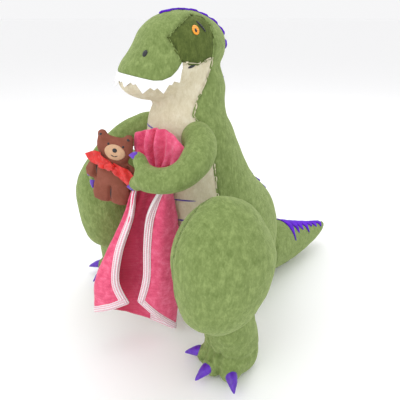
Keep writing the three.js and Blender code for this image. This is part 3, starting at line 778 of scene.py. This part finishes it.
def foot(side):
    place = patternPlace @ Matrix.Translation(legPattern["ankles"][side]) @ Matrix.Rotation(
        math.radians(legPattern["turns"][side]), 4, "Z")
    bm = bmesh.new()
    rows = []
    leanX, leanY = legPattern["leans"][side]
    for x, y, z, wide, deep in legPattern["shank"]:
        rise = max(0, (z + 10) / 43)     # the shank leans in under the thigh
        rows.append((x + leanX * rise, y + leanY * rise, z, wide, deep))
    addTube(bm, rows, place=place)
    for step in (-1, 0, 1):
        turn = Matrix.Rotation(math.radians(step * legPattern["toeSpread"]), 4, "Z")
        addBall(bm, toeCentre(step), legPattern["toe"], place, turn)
    piece = fused("foot" + side.capitalize(), bm, legPattern["footCell"], legPattern["footEvened"])
    back = place.inverted()
    creases = []
    for step in (-0.5, 0.5):
        angle = math.radians(step * legPattern["toeSpread"])
        creases += [Vector((r * math.sin(angle), 2 - r * math.cos(angle), 0)) for r in (16, 19, 22, 25)]
    finer(piece)
    # thread pulled through the foot draws a groove between the toes, and the shank folds over them
    bm = opened(piece)
    bm.normal_update()
    moves = []
    for vert in bm.verts:
        q = back @ vert.co
        near = min(Vector((q.x - c.x, q.y - c.y, 0)).length for c in creases)
        groove = 2.2 * math.exp(-(near / 2) ** 2) * (1 if q.z < -18 else math.exp(-((q.z + 18) / 8) ** 2))
        fold = 1.6 * math.exp(-((q.x + 4 + q.z * 0.2) / 2.2) ** 2) * (q.y < 0) * (-24 < q.z < 14)
        gather = 1.3 * math.exp(-((q.z + 15 + q.x * 0.15) / 2.6) ** 2)
        uneven = noise.noise(vert.co * perMetre(12)) * 0.7
        moves.append(-vert.normal * (groove + fold + gather - uneven) * mm)
    layer = bm.verts.layers.float.new("seam")
    for vert, move in zip(bm.verts, moves):
        vert.co += move
        # painted shade: darker the further the skin was pushed in, in the grooves between the toes and the folds
        vert[layer] = min(0.5, move.length / mm * 0.2)
        vert.co.z = max(vert.co.z, soleHeight)
    closed(piece, bm)
    declared(piece, "foot_" + side, ("foot_skin_" + side, "foot_stuffing_" + side))
    for step in (-1, 0, 1):
        angle = math.radians(step * legPattern["toeSpread"] * 1.3)
        aim = Vector((math.sin(angle), -math.cos(angle), -0.15))
        base = toeCentre(step) + Vector((aim.x, aim.y, 0)) * 6 + Vector((0, 0, 2))
        claw("footClaw" + side.capitalize() + str(step + 2), base, aim, 17, 4.8, place, "foot_" + side,
             "foot_claw_%s_%d" % (side, step + 2))


soleHeight = 0.0003     # metres above the floor
clawShape = [
    # share of the length, share of the radius
    (-0.1, 0.6), (0, 0.85), (0.14, 1.05), (0.32, 1), (0.55, 0.78), (0.78, 0.47), (0.93, 0.24), (1, 0.08),
]


# A satin claw, gathered where it is sewn in, fullest just past that, and bent down to its point.
def claw(name, base, aim, length, radius, place, body, node):
    aim = aim.normalized()
    rows = []
    for share, size in clawShape:
        centre = base + aim * length * share + Vector((0, 0, -0.16 * length * share * share))
        rows.append((*centre, radius * size, radius * size * 0.85))
    bm = bmesh.new()
    addTube(bm, rows, around=20, steps=3, place=place)
    bmesh.ops.recalc_face_normals(bm, faces=bm.faces)
    for vert in bm.verts:
        vert.co += noise.noise_vector(vert.co * perMetre(3.5)) * 0.3 * mm
        vert.co.z = max(vert.co.z, soleHeight)
    declared(finished(name, bm, purpleSatin), body, (node,))


# arms

armPattern = {
    "left": {
        "arm": [(22, 14, 188, 11, 11), (31, 12, 188, 13, 14), (40, 7, 183.5, 12.5, 13), (46, -2, 177.5, 12, 12),
                (47.5, -13, 171, 11, 11), (42, -22.5, 166, 10, 10.5), (32, -29, 164, 9.5, 10),
                (23, -32, 164.5, 10.5, 10), (16, -33.5, 165, 7, 7)],
        "fingers": [((20.5, -32, 168), (13.5, -31, 177.5), 5.8), ((20.5, -32, 163), (10.5, -33.5, 156.5), 6.6)],
        "claws": [((13.5, -32.5, 179), (-1, -0.2, 0.1)), ((11.5, -34.5, 155), (-1, -0.3, -0.1))],
    },
    "right": {
        "arm": [(-22, 14, 187, 11, 11), (-31, 11, 187, 13, 13.5), (-40, 4, 184, 12.5, 12.5),
                (-47, -6, 178, 11.5, 11.5), (-51, -18, 169, 11, 11), (-52, -27, 162, 10, 10),
                (-50, -34, 157.5, 9, 9)],
        "fingers": [((-49, -34, 158), (-41, -43, 156), 6.6), ((-50, -33, 156), (-44, -39, 147), 6.6)],
        "claws": [((-42, -43.5, 156), (0.75, -0.65, 0)), ((-44.5, -40.5, 147), (0.7, -0.6, -0.4))],
    },
    "cell": 2.2, "evened": 3,
}


def arm(side):
    pattern = armPattern[side]
    bm = bmesh.new()
    addTube(bm, pattern["arm"])
    for start, end, radius in pattern["fingers"]:
        a, b = Vector(start), Vector(end)
        tip = (b - a).normalized()
        rows = [(*(a - tip * 3), radius * 0.8, radius * 0.8), (*a.lerp(b, 0.4), radius, radius),
                (*b, radius * 0.95, radius * 0.95), (*(b + tip * radius * 0.7), radius * 0.55, radius * 0.55),
                (*(b + tip * radius * 0.95), radius * 0.15, radius * 0.15)]
        addTube(bm, rows, around=20, steps=3)
    piece = finer(fused("arm" + side.capitalize(), bm, armPattern["cell"], armPattern["evened"]))
    bm = opened(piece)
    sewn(bm, [], *seamPattern["arm"])
    closed(piece, bm)
    declared(piece, "arm_" + side, ("arm_skin_" + side, "arm_stuffing_" + side))
    for i, (base, aim) in enumerate(pattern["claws"]):
        claw("fingerClaw%s%d" % (side.capitalize(), i + 1), Vector(base), Vector(aim), 9, 3.4, patternPlace,
             "arm_" + side, "finger_claw_%s_%d" % (side, i + 1))


# face: embroidered marks, each a low dome of thread lying on the head

facePattern = [
    # name, centre in Y and Z, half sizes, turn in degrees, height, material, slot, node
    ("eye", (-1, 44.3), (2.9, 3.3), -10, 0.7, orangeThread, "thread_orange", "eye_"),
    ("pupil", (-1.4, 43.8), (1.15, 1.6), -12, 1.1, blackThread, "thread_dark", "pupil_"),
    ("brow", (4.6, 46.6), (0.75, 4.8), -38, 0.7, blackThread, "thread_dark", "brow_"),
    ("mouthStitch", (-6.5, 19.6), (3.4, 0.9), -14, 0.6, blackThread, "thread_dark", "mouth_stitch_"),
    ("nostril", (-38.5, 29), (1.0, 2.6), 32, 0.6, blackThread, "thread_dark", "nostril_"),
]


def domeOnSkin(name, centre, sizes, turn, height, material, place, sight):
    bm = bmesh.new()
    bmesh.ops.create_uvsphere(bm, u_segments=28, v_segments=14, radius=1)
    cos, sin = math.cos(math.radians(turn)), math.sin(math.radians(turn))
    inward = (place.to_3x3() @ sight).normalized()
    for vert in bm.verts:
        a, b = vert.co.x * sizes[0], vert.co.y * sizes[1]
        u, v = centre[0] + a * cos + b * sin, centre[1] - a * sin + b * cos
        start = Vector((u, 0, v)) if abs(sight.y) > 0.5 else Vector((0, u, v))
        hit, normal, _, _ = bodyTree.ray_cast(place @ (start - sight * 70), inward)
        vert.co = hit + normal * (0.25 + vert.co.z * height) * mm
    bmesh.ops.recalc_face_normals(bm, faces=bm.faces)
    return finished(name, bm, material)


def face(side, sign):
    for name, centre, sizes, turn, height, material, slotName, node in facePattern:
        piece = domeOnSkin(name + side.capitalize(), centre, sizes, turn, height, material, headPlace,
                           Vector((-sign, 0, 0)))
        declared(piece, "head", (node + side,))


stitchPattern = [
    # centre in X and Z on the belly, half length, slope in degrees
    ((-8, 193.8), 8, -4), ((24.5, 137.2), 7.5, -2), ((23, 119), 3.2, 0),
]


def bellyStitches():
    for i, (centre, half, slope) in enumerate(stitchPattern):
        piece = domeOnSkin("bellyStitch%d" % (i + 1), centre, (half, 0.65), -slope, 0.45, purpleThread,
                           patternPlace, Vector((0, 1, 0)))
        declared(piece, "torso")


# teeth: two strips of felt with a zigzag edge, sewn in under the lip, one behind the other

teethPattern = {"pitch": 14, "spread": 118, "rise": 2.0, "thick": 1.0,
                "strips": [(0, 6.8, 2.4, 0.9), (0.5, 3.4, 1.2, 0.4)]}   # offset, depth, flare, stand-off


def lipHeight(y):
    lip = bodyPattern["lip"]
    for (ay, az), (by, bz) in zip(lip, lip[1:]):
        if ay <= y <= by:
            return az + (bz - az) * (y - ay) / (by - ay)
    return lip[0][1] if y < lip[0][0] else lip[-1][1]


def lipLine():
    points = []
    spread = teethPattern["spread"]
    for i in range(121):
        angle = math.radians(-spread + 2 * spread * i / 120)
        outward = Vector((math.sin(angle), -math.cos(angle), 0))
        z = 15
        for _ in range(4):
            far = headPlace @ (Vector((0, -26, z)) + outward * 80)
            hit, normal, _, _ = bodyTree.ray_cast(far, headPlace.to_3x3() @ -outward)
            z = lipHeight((fromHead @ hit).y) - 0.6
        points.append((hit, (normal - Vector((0, 0, normal.z * 0.6))).normalized()))
    return points


def teeth():
    line = lipLine()
    lengths = lengthsAlong([point for point, _ in line], mm)
    bm = bmesh.new()
    for offset, depth, flare, stand in teethPattern["strips"]:
        half = teethPattern["pitch"] / 2
        stops = [half * (offset * 2 + k) for k in range(int(lengths[-1] / half) + 1)]
        stops = [stop for stop in stops if stop <= lengths[-1]]
        rows = []
        for k, stop in enumerate(stops):
            i = max(j for j in range(len(lengths)) if lengths[j] <= stop)
            point, normal = line[min(i, len(line) - 1)]
            ends = min(1, (stop + 6) / 20, (lengths[-1] - stop + 6) / 20)
            tip = (k % 2) * depth * (0.86 + 0.22 * abs(math.sin(k * 2.3))) * ends
            rows.append((point + normal * stand * mm, normal, tip))
        top = [bm.verts.new(point + Vector((0, 0, teethPattern["rise"] * mm))) for point, _, _ in rows]
        edges = [bm.edges.new(pair) for pair in zip(top, top[1:])]
        for drop, reach in ((teethPattern["rise"] + 0.3, 0), (0.5, 1)):
            made = bmesh.ops.extrude_edge_only(bm, edges=edges)["geom"]
            edges = [item for item in made if isinstance(item, bmesh.types.BMEdge)]
            fresh = [item for item in made if isinstance(item, bmesh.types.BMVert)]
            for vert in fresh:
                _, normal, tip = min(rows, key=lambda row: (vert.co - row[0]).xy.length)
                vert.co += normal * (flare * mm * reach * tip / depth + 0.2 * mm)
                vert.co.z -= (drop + reach * tip) * mm
    bmesh.ops.recalc_face_normals(bm, faces=bm.faces)
    piece = thickened(finished("feltTeeth", bm, whiteFelt), teethPattern["thick"], 0)
    edge = piece.modifiers.new("softEdge", "BEVEL")
    edge.width = 0.25 * mm
    edge.segments = 2
    piece.data.shade_flat()
    declared(piece, "head", ("teeth",))


# purple felt spikes lie over the seam down the back, cut to points along both sides

# Each ray goes from outside the skin to inside it, and the felt lies where it meets the skin.
def crest(name, rays, place, halfWidth, points, body, nodes=()):
    count = len(rays) - 1
    bm = bmesh.new()
    bmesh.ops.create_grid(bm, x_segments=count, y_segments=6, size=1)
    for vert in bm.verts:
        i, share = gridStep(vert, count)[0], vert.co.y
        outer, inner = rays[i]
        width = halfWidth(i / count) + points(i, i / count) * (1 if share > 0 else 0.9)
        start = place @ (Vector((share * width * 2.2, 0, 0)) + Vector(outer))
        aim = place @ (Vector((share * width * 0.55, 0, 0)) + Vector(inner))
        hit, normal, _, _ = bodyTree.ray_cast(start, (aim - start).normalized())
        vert.co = hit + normal * (0.6 + 0.3 * abs(share)) * mm
    bmesh.ops.recalc_face_normals(bm, faces=bm.faces)
    piece = thickened(finished(name, bm, purpleFelt), 1.2, 0)
    piece.data.shade_flat()
    declared(piece, body, nodes)


def feltSpikes():
    middle = Vector((0, 4, 25))
    over = []
    for i in range(29):
        angle = math.radians(-38 + 122 * i / 28)
        away = Vector((0, math.sin(angle), math.cos(angle)))
        over.append((middle + away * 90, middle))
    saw = (0, 0.5, 1, 0.4)
    crest("headSpikes", over, headPlace, lambda s: 0.6,
          lambda i, s: (4 + 8 * max(0, s - 0.55)) * saw[i % 4], "head", ("head_felt",))
    nape = [((0, 160, 233 - 36 * i / 16), (0, 25, 233 - 36 * i / 16)) for i in range(17)]
    crest("napeSpikes", nape, patternPlace, lambda s: 1, lambda i, s: 9 * saw[i % 4], ("torso", "neck"))
    back = [((0, 190, 190 - 106 * i / 40), (0, 40, 172 - 106 * i / 40)) for i in range(41)]
    crest("backSpikes", back, patternPlace, lambda s: 1, lambda i, s: 6.5 * saw[i % 4], "torso",
          ("back_felt",))
    tail = [((0, 166 + 82 * i / 28, 120), (0, 166 + 82 * i / 28, 25)) for i in range(29)]
    crest("tailSpikes", tail, patternPlace, lambda s: 7 - 4 * s,
          lambda i, s: (17 - 11 * s) * saw[i % 4] * (0.85 + 0.3 * math.sin(i)), ("torso", "tail"),
          ("tail_felt",))


# the blanket: a fleece square pinched under the left forearm, fanned in pleats above and hanging below

blanketPattern = {
    "levels": [
        # each level: centre in X and Y, turn, then nine folds across (along, out, height)
        ((1, -37), 50, [(-3.5, 8, 48), (-20, 9, 42), (-35, 0, 33), (-20, -12, 26), (-4, -14, 20), (15, -12, 14),
                        (35.5, -3, 11), (20, 8, 33), (5, 8, 50)]),
        ((1, -37), 50, [(-10.5, 8, 70), (-21, 9, 67), (-31.5, 0, 66), (-18, -12, 64), (-2, -14, 62),
                        (16, -12, 60), (41, -3, 62), (26, 9, 68), (11, 8, 74)]),
        ((1, -37), 50, [(-6, 7, 98), (-12, 7, 97), (-18, 0, 97), (-9, -8, 96), (4, -10, 95), (20, -9, 94),
                        (42, -3, 96), (28, 8, 100), (12.8, 7, 104)]),
        ((1, -37), 50, [(4, 4, 127), (1, 3, 127), (-3, -1, 127), (2, -7, 127), (10, -9, 127), (22, -8, 127),
                        (39, -3, 127), (28, 5, 128), (17, 5, 130)]),
        ((1, -37), 48, [(8, 0, 150), (6.5, -1, 150), (6, -4, 150), (12, -7, 150), (18, -8.5, 150), (27, -8, 150),
                        (35.5, -5, 150), (32, 0, 150), (28, 1, 150)]),
        ((14, -14), 22, [(-11, 1, 163), (-10, -1, 163), (-6, -2, 163), (-3, 1.5, 163), (1, -2, 163), (4, 1.5, 163),
                         (8, -1.5, 163), (12, 1.5, 163), (16, 0, 163)]),
        ((16, -12), 14, [(-25, 2, 176), (-19, 1, 177), (-12, 2.5, 178), (-7, -1.5, 178), (-2, 3, 178),
                         (5, -1.5, 178), (10, 3, 177), (17, 0, 175), (22.5, 1, 172)]),
        ((17, -11), 12, [(-26, 3, 189), (-18, 2, 191), (-11, 3.5, 192), (-6, 0, 193), (-1, 4, 194), (5, 0, 193),
                         (11, 3.5, 190), (18, 1, 186), (23, 1, 179)]),
        ((17, -11), 12, [(-25, 2, 191), (-17, 2, 194), (-10, 3, 196), (-5, 1, 197), (0, 3, 197.5), (6, 1, 197),
                         (12, 2.5, 194.5), (19.5, 1, 189), (24, 1, 180)]),
    ],
    "binding": 6, "flat": (0.155, 0.16), "thick": 1.3, "pleats": 5, "ripple": 7.5504, "rippleHeight": 0.8,
    "pleatDepth": [0, 0.3, 0.8, 1.6, 2.8, 3, 2.4, 1.6, 1.0],
}


def blanketSurface():
    columns = []
    levels = []
    turns = []
    for (x, y), turn, folds in blanketPattern["levels"]:
        angle = math.radians(turn)
        turns.append(angle)
        along = Vector((math.cos(angle), math.sin(angle), 0))
        out = Vector((math.sin(angle), -math.cos(angle), 0))
        places = [Vector((x, y, 0)) + along * a + out * o + Vector((0, 0, z)) for a, o, z in folds]
        levels.append(smoothed(places, 8))
    depths = blanketPattern["pleatDepth"]
    last = len(levels[0]) - 1
    for i in range(last + 1):
        wave = math.sin(2 * math.pi * blanketPattern["pleats"] * i / last)
        out = [Vector((math.sin(a), -math.cos(a), 0)) * wave * depth for a, depth in zip(turns, depths)]
        columns.append(smoothed([level[i] + push for level, push in zip(levels, out)], 8))
    return columns


def blanket():
    columns = blanketSurface()
    wide, tall = len(columns), len(columns[0])
    bm = bmesh.new()
    inner = bm.verts.layers.float.new("inner")
    bmesh.ops.create_grid(bm, x_segments=wide - 1, y_segments=tall - 1, size=1)
    for vert in bm.verts:
        i, j = gridStep(vert, wide - 1, tall - 1)
        vert.co = patternPlace @ columns[i][j]
        # the middle folds turn in under the arm, where the cloth is darkened with painted shadow
        within = math.exp(-((i - wide * 0.42) / (wide * 0.13)) ** 2)
        below = min(1, max(0, 1 - j / (tall - 1) - 0.36) * 5)
        vert[inner] = 0.9 * within * below
    bm.normal_update()
    ripple, height = perMetre(blanketPattern["ripple"]), blanketPattern["rippleHeight"]
    moves = [vert.normal * noise.noise(vert.co * ripple) * height * mm for vert in bm.verts]
    for vert, move in zip(bm.verts, moves):
        vert.co += move
    bmesh.ops.recalc_face_normals(bm, faces=bm.faces)
    piece = finished("fleeceBlanket", bm, pinkFleece)
    finer(piece)
    thickened(piece, blanketPattern["thick"], 0)
    declared(piece, "blanket", ("blanket",))
    trims = bindingPieces(columns)


# A strip of binding's width in from the start of a line, as a few points.
def inward(line):
    walked = lengthsAlong(line)
    width = blanketPattern["binding"]
    out = []
    for share in (-0.1, 0.3, 0.65, 1):
        reach = share * width
        if reach < 0:
            out.append(line[0] + (line[0] - line[1]).normalized() * -reach)
            continue
        k = max(j for j in range(len(walked) - 1) if walked[j] <= reach)
        step = (reach - walked[k]) / max(walked[k + 1] - walked[k], 1e-6)
        out.append(line[k].lerp(line[k + 1], min(step, 1)))
    return out


# the binding wraps both faces of the edge, so it is a strip from the edge inwards, thicker than the cloth
def bindingPieces(columns):
    tall, wide = len(columns[0]), len(columns)
    rows = [[column[j] for column in columns] for j in range(int(tall * 0.56) + 1)]
    strips = {
        "blanketBindingLeft": [inward(row) for row in rows],
        "blanketBindingMiddle": [inward(row[::-1]) for row in rows],
        "blanketBindingHemLeft": [inward(column) for column in columns[:int(wide * 0.3)]],
        "blanketBindingHemRight": [inward(column) for column in columns[int(wide * 0.6):]],
    }
    pieces = []
    for name, strip in strips.items():
        count = len(strip) - 1
        walked = lengthsAlong([points[0] for points in strip])
        bm = bmesh.new()
        bmesh.ops.create_grid(bm, x_segments=count, y_segments=3, size=1)
        flat = bm.loops.layers.uv.new("UVMap")
        for grid in bm.faces:
            for loop in grid.loops:
                i, j = gridStep(loop.vert, count, 3)
                loop[flat].uv = (walked[i], j / 3)
        for vert in bm.verts:
            i, j = gridStep(vert, count, 3)
            vert.co = patternPlace @ strip[i][j]
        bmesh.ops.recalc_face_normals(bm, faces=bm.faces)
        piece = thickened(finished(name, bm, paleBinding), 2.5, 0)
        nodes = ("blanket_trim",) if name.endswith("HemLeft") else ()
        pieces.append(declared(piece, "blanket", nodes))
    return pieces


# the bear: two layers of felt sewn round the edge over a little filling

bearPattern = {
    "centre": (-18.2, -36, 161), "turn": 35, "lean": 9, "size": 1.08,
    "half": [(0, 26.5), (4, 26.6), (6.5, 27.5), (8.5, 29.8), (11.5, 30.2), (13.8, 28), (13.4, 24.5), (14, 20.5),
             (13.8, 16), (11.5, 11), (10.5, 8), (15, 6.5), (19.5, 2.5), (22, -3), (21, -8), (17, -10), (14, -9),
             (14.6, -15), (15, -21), (13.5, -26.5), (8, -28), (2, -27.5), (0, -26)],
    "creases": [((12.5, 5), (13, -7)), ((-12.5, 5), (-13, -7)), ((0.3, -13), (0.3, -28))],
    "depth": 4.2, "roundness": 3.4, "cell": 1.1, "evened": 3,
    "marks": [
        # name, centre, half sizes, turn, lift off the felt
        ("bearSmileLeft", (1.0, 13.6), (1.5, 0.35), -22, 1.5),
        ("bearSmileRight", (3.6, 13.6), (1.5, 0.35), 22, 1.5),
        ("bearEyeLeft", (-3.5, 21.5), (0.8, 0.9), 0, 0.2), ("bearEyeRight", (8, 21.5), (0.8, 0.9), 0, 0.2),
        ("bearEarLeft", (-10.6, 27), (1.3, 0.9), 30, 0), ("bearEarRight", (11, 27), (1.3, 0.9), -30, 0),
        ("bearLegStitch", (0.3, -19), (0.5, 5.5), 0, 0.1),
        ("bearArmStitchLeft", (-12.6, -1), (0.45, 5), 2, 0.1),
        ("bearArmStitchRight", (12.6, -1), (0.45, 5), -2, 0.1)],
}
bearOutline = bearPattern["half"] + [(-u, v) for u, v in reversed(bearPattern["half"][1:-1])]
bearPlace = (patternPlace @ Matrix.Translation(bearPattern["centre"])
             @ Matrix.Rotation(math.radians(bearPattern["turn"]), 4, "Z")
             @ Matrix.Rotation(math.radians(bearPattern["lean"]), 4, "Y")
             @ Matrix.Rotation(math.radians(90), 4, "X")
             @ Matrix.Diagonal((bearPattern["size"], bearPattern["size"] * 0.98, 1, 1)))
fromBear = bearPlace.inverted()


def bearDepth(u, v):
    inside = max(insideBy(bearOutline, u, v), 0)
    depth = 0.7 + bearPattern["depth"] * (1 - math.exp(-inside / bearPattern["roundness"]))
    for a, b in bearPattern["creases"]:
        away = fromLine(Vector((u, v, 0)), Vector((*a, 0)), Vector((*b, 0)))
        depth -= 2.6 * math.exp(-(away / 1.5) ** 2) * min(1, inside / 2)
    return max(depth, 0.6)


def bearPanel(name, front):
    bm = bmesh.new()
    verts = [bm.verts.new((u, v, 0)) for u, v in bearOutline]
    bottom = bm.faces.new(verts)
    made = bmesh.ops.extrude_face_region(bm, geom=[bottom])["geom"]
    raised = [item for item in made if isinstance(item, bmesh.types.BMVert)]
    bmesh.ops.translate(bm, vec=(0, 0, 4), verts=raised)
    bmesh.ops.transform(bm, matrix=bearPlace, verts=bm.verts)
    piece = fused(name, bm, bearPattern["cell"], bearPattern["evened"], brownFelt)
    finer(piece)
    for vert in piece.data.vertices:
        q = fromBear @ vert.co
        depth = bearDepth(q.x, q.y)
        share = min(max(q.z / 4, 0), 1)
        level = depth * share + 0.15 if front else -depth * share - 0.15
        vert.co = bearPlace @ Vector((q.x, q.y, level + noise.noise(vert.co * perMetre(6)) * 0.25 * share))
    if not front:
        piece.data.flip_normals()
    nodes = ("bear_front", "bear_stuffing") if front else ("bear_back",)
    declared(piece, "arm_left", nodes)


def bearDome(name, centre, sizes, turn, lift, height=0.4, material=blackThread, slotName="thread_dark",
             nodes=()):
    bm = bmesh.new()
    bmesh.ops.create_uvsphere(bm, u_segments=24, v_segments=12, radius=1)
    cos, sin = math.cos(math.radians(turn)), math.sin(math.radians(turn))
    for vert in bm.verts:
        a, b = vert.co.x * sizes[0], vert.co.y * sizes[1]
        u, v = centre[0] + a * cos - b * sin, centre[1] + a * sin + b * cos
        vert.co = bearPlace @ Vector((u, v, bearDepth(u, v) + lift + vert.co.z * height))
    bmesh.ops.recalc_face_normals(bm, faces=bm.faces)
    declared(finished(name, bm, material), "arm_left", nodes)


ribbonPattern = {
    # rows along each wing: along, up, out, half width, tilt in degrees
    "left": [(-1, 5, 6, 3.2, 0), (-5, 6.5, 7.5, 4, 15), (-8, 8, 7, 4.8, -10), (-11, 9, 6.5, 5, 12),
             (-14, 10.5, 6, 4.9, 0), (-17, 12.5, 5.5, 4.6, -8)],
    "right": [(1, 5, 6, 3.2, 0), (5, 4, 7.5, 4, -15), (9, 2.5, 7.2, 4.6, 10), (13, 0.5, 7.4, 4.8, -12),
              (18, -3.5, 7, 4.8, 0), (23, -7.5, 6.4, 4.6, 6)],
    "knot": [(-3.4, 5.4, 6.6, 0.6, 0.6), (-2.8, 5.3, 6.8, 2.6, 2), (0, 5, 7.6, 3.6, 2.6),
             (2.8, 4.6, 6.8, 2.6, 2), (3.4, 4.5, 6.6, 0.6, 0.6)],
    "thick": 0.5,
}


def ribbon():
    for side in ("left", "right"):
        rows = ribbonPattern[side]
        bm = bmesh.new()
        places = smoothed([Vector(row[:3]) for row in rows], 6)
        sizes = smoothed([Vector((row[3], row[4], 0)) for row in rows], 6)
        count = len(places) - 1
        bmesh.ops.create_grid(bm, x_segments=count, y_segments=8, size=1)
        for vert in bm.verts:
            i, share = gridStep(vert, count)[0], vert.co.y
            ahead = (places[min(i + 1, count)] - places[max(i - 1, 0)]).normalized()
            up = Vector((-ahead.y, ahead.x, 0)).normalized()
            up.rotate(Quaternion(ahead, math.radians(sizes[i].y)))
            curl = Vector((0, 0, 0.9 * math.cos(share * 4.2 + i * 0.35)))
            notch = ahead * (2.4 * share * (1 if side == "left" else -1) * (i / count) ** 4)
            vert.co = bearPlace @ (places[i] + up * share * sizes[i].x + curl + notch)
        bmesh.ops.recalc_face_normals(bm, faces=bm.faces)
        piece = finer(finished("ribbon" + side.capitalize(), bm, redSatin))
        declared(thickened(piece, ribbonPattern["thick"], 0), "arm_left")
    bm = bmesh.new()
    addTube(bm, ribbonPattern["knot"], around=20, steps=4, place=bearPlace)
    bmesh.ops.recalc_face_normals(bm, faces=bm.faces)
    for vert in bm.verts:
        vert.co += noise.noise_vector(vert.co * perMetre(3)) * 0.5 * mm
    declared(finished("ribbonKnot", bm, redSatin), "arm_left", ("ribbon_bow",))


def bear():
    bearPanel("bearFront", True)
    bearPanel("bearBack", False)
    bearDome("bearMuzzle", (2, 16), (8, 6), 0, 0.4, 1.2, tanFelt, "felt_tan", ("bear_muzzle",))
    bearDome("bearNose", (2.4, 18), (1.8, 1.6), 0, 1.5, 1.0, nodes=("bear_nose",))
    for mark in bearPattern["marks"]:
        bearDome(*mark)
    ribbon()


addCamera()
addLights()
addFloor()
print("stage ready")
skin = bodySkin()
print("body filled")
bodyCut, bodyKinds = cutBody(skin)
bodyTree = BVHTree.FromBMesh(bodyCut)
bodyPanels(bodyCut, bodyKinds)
for side, sign in (("left", 1), ("right", -1)):
    thigh(side, sign)
    foot(side)
    arm(side)
    face(side, sign)
print("limbs and face sewn")
teeth()
feltSpikes()
bellyStitches()
print("felt sewn")
blanket()
bear()
print("bear and blanket in hand")
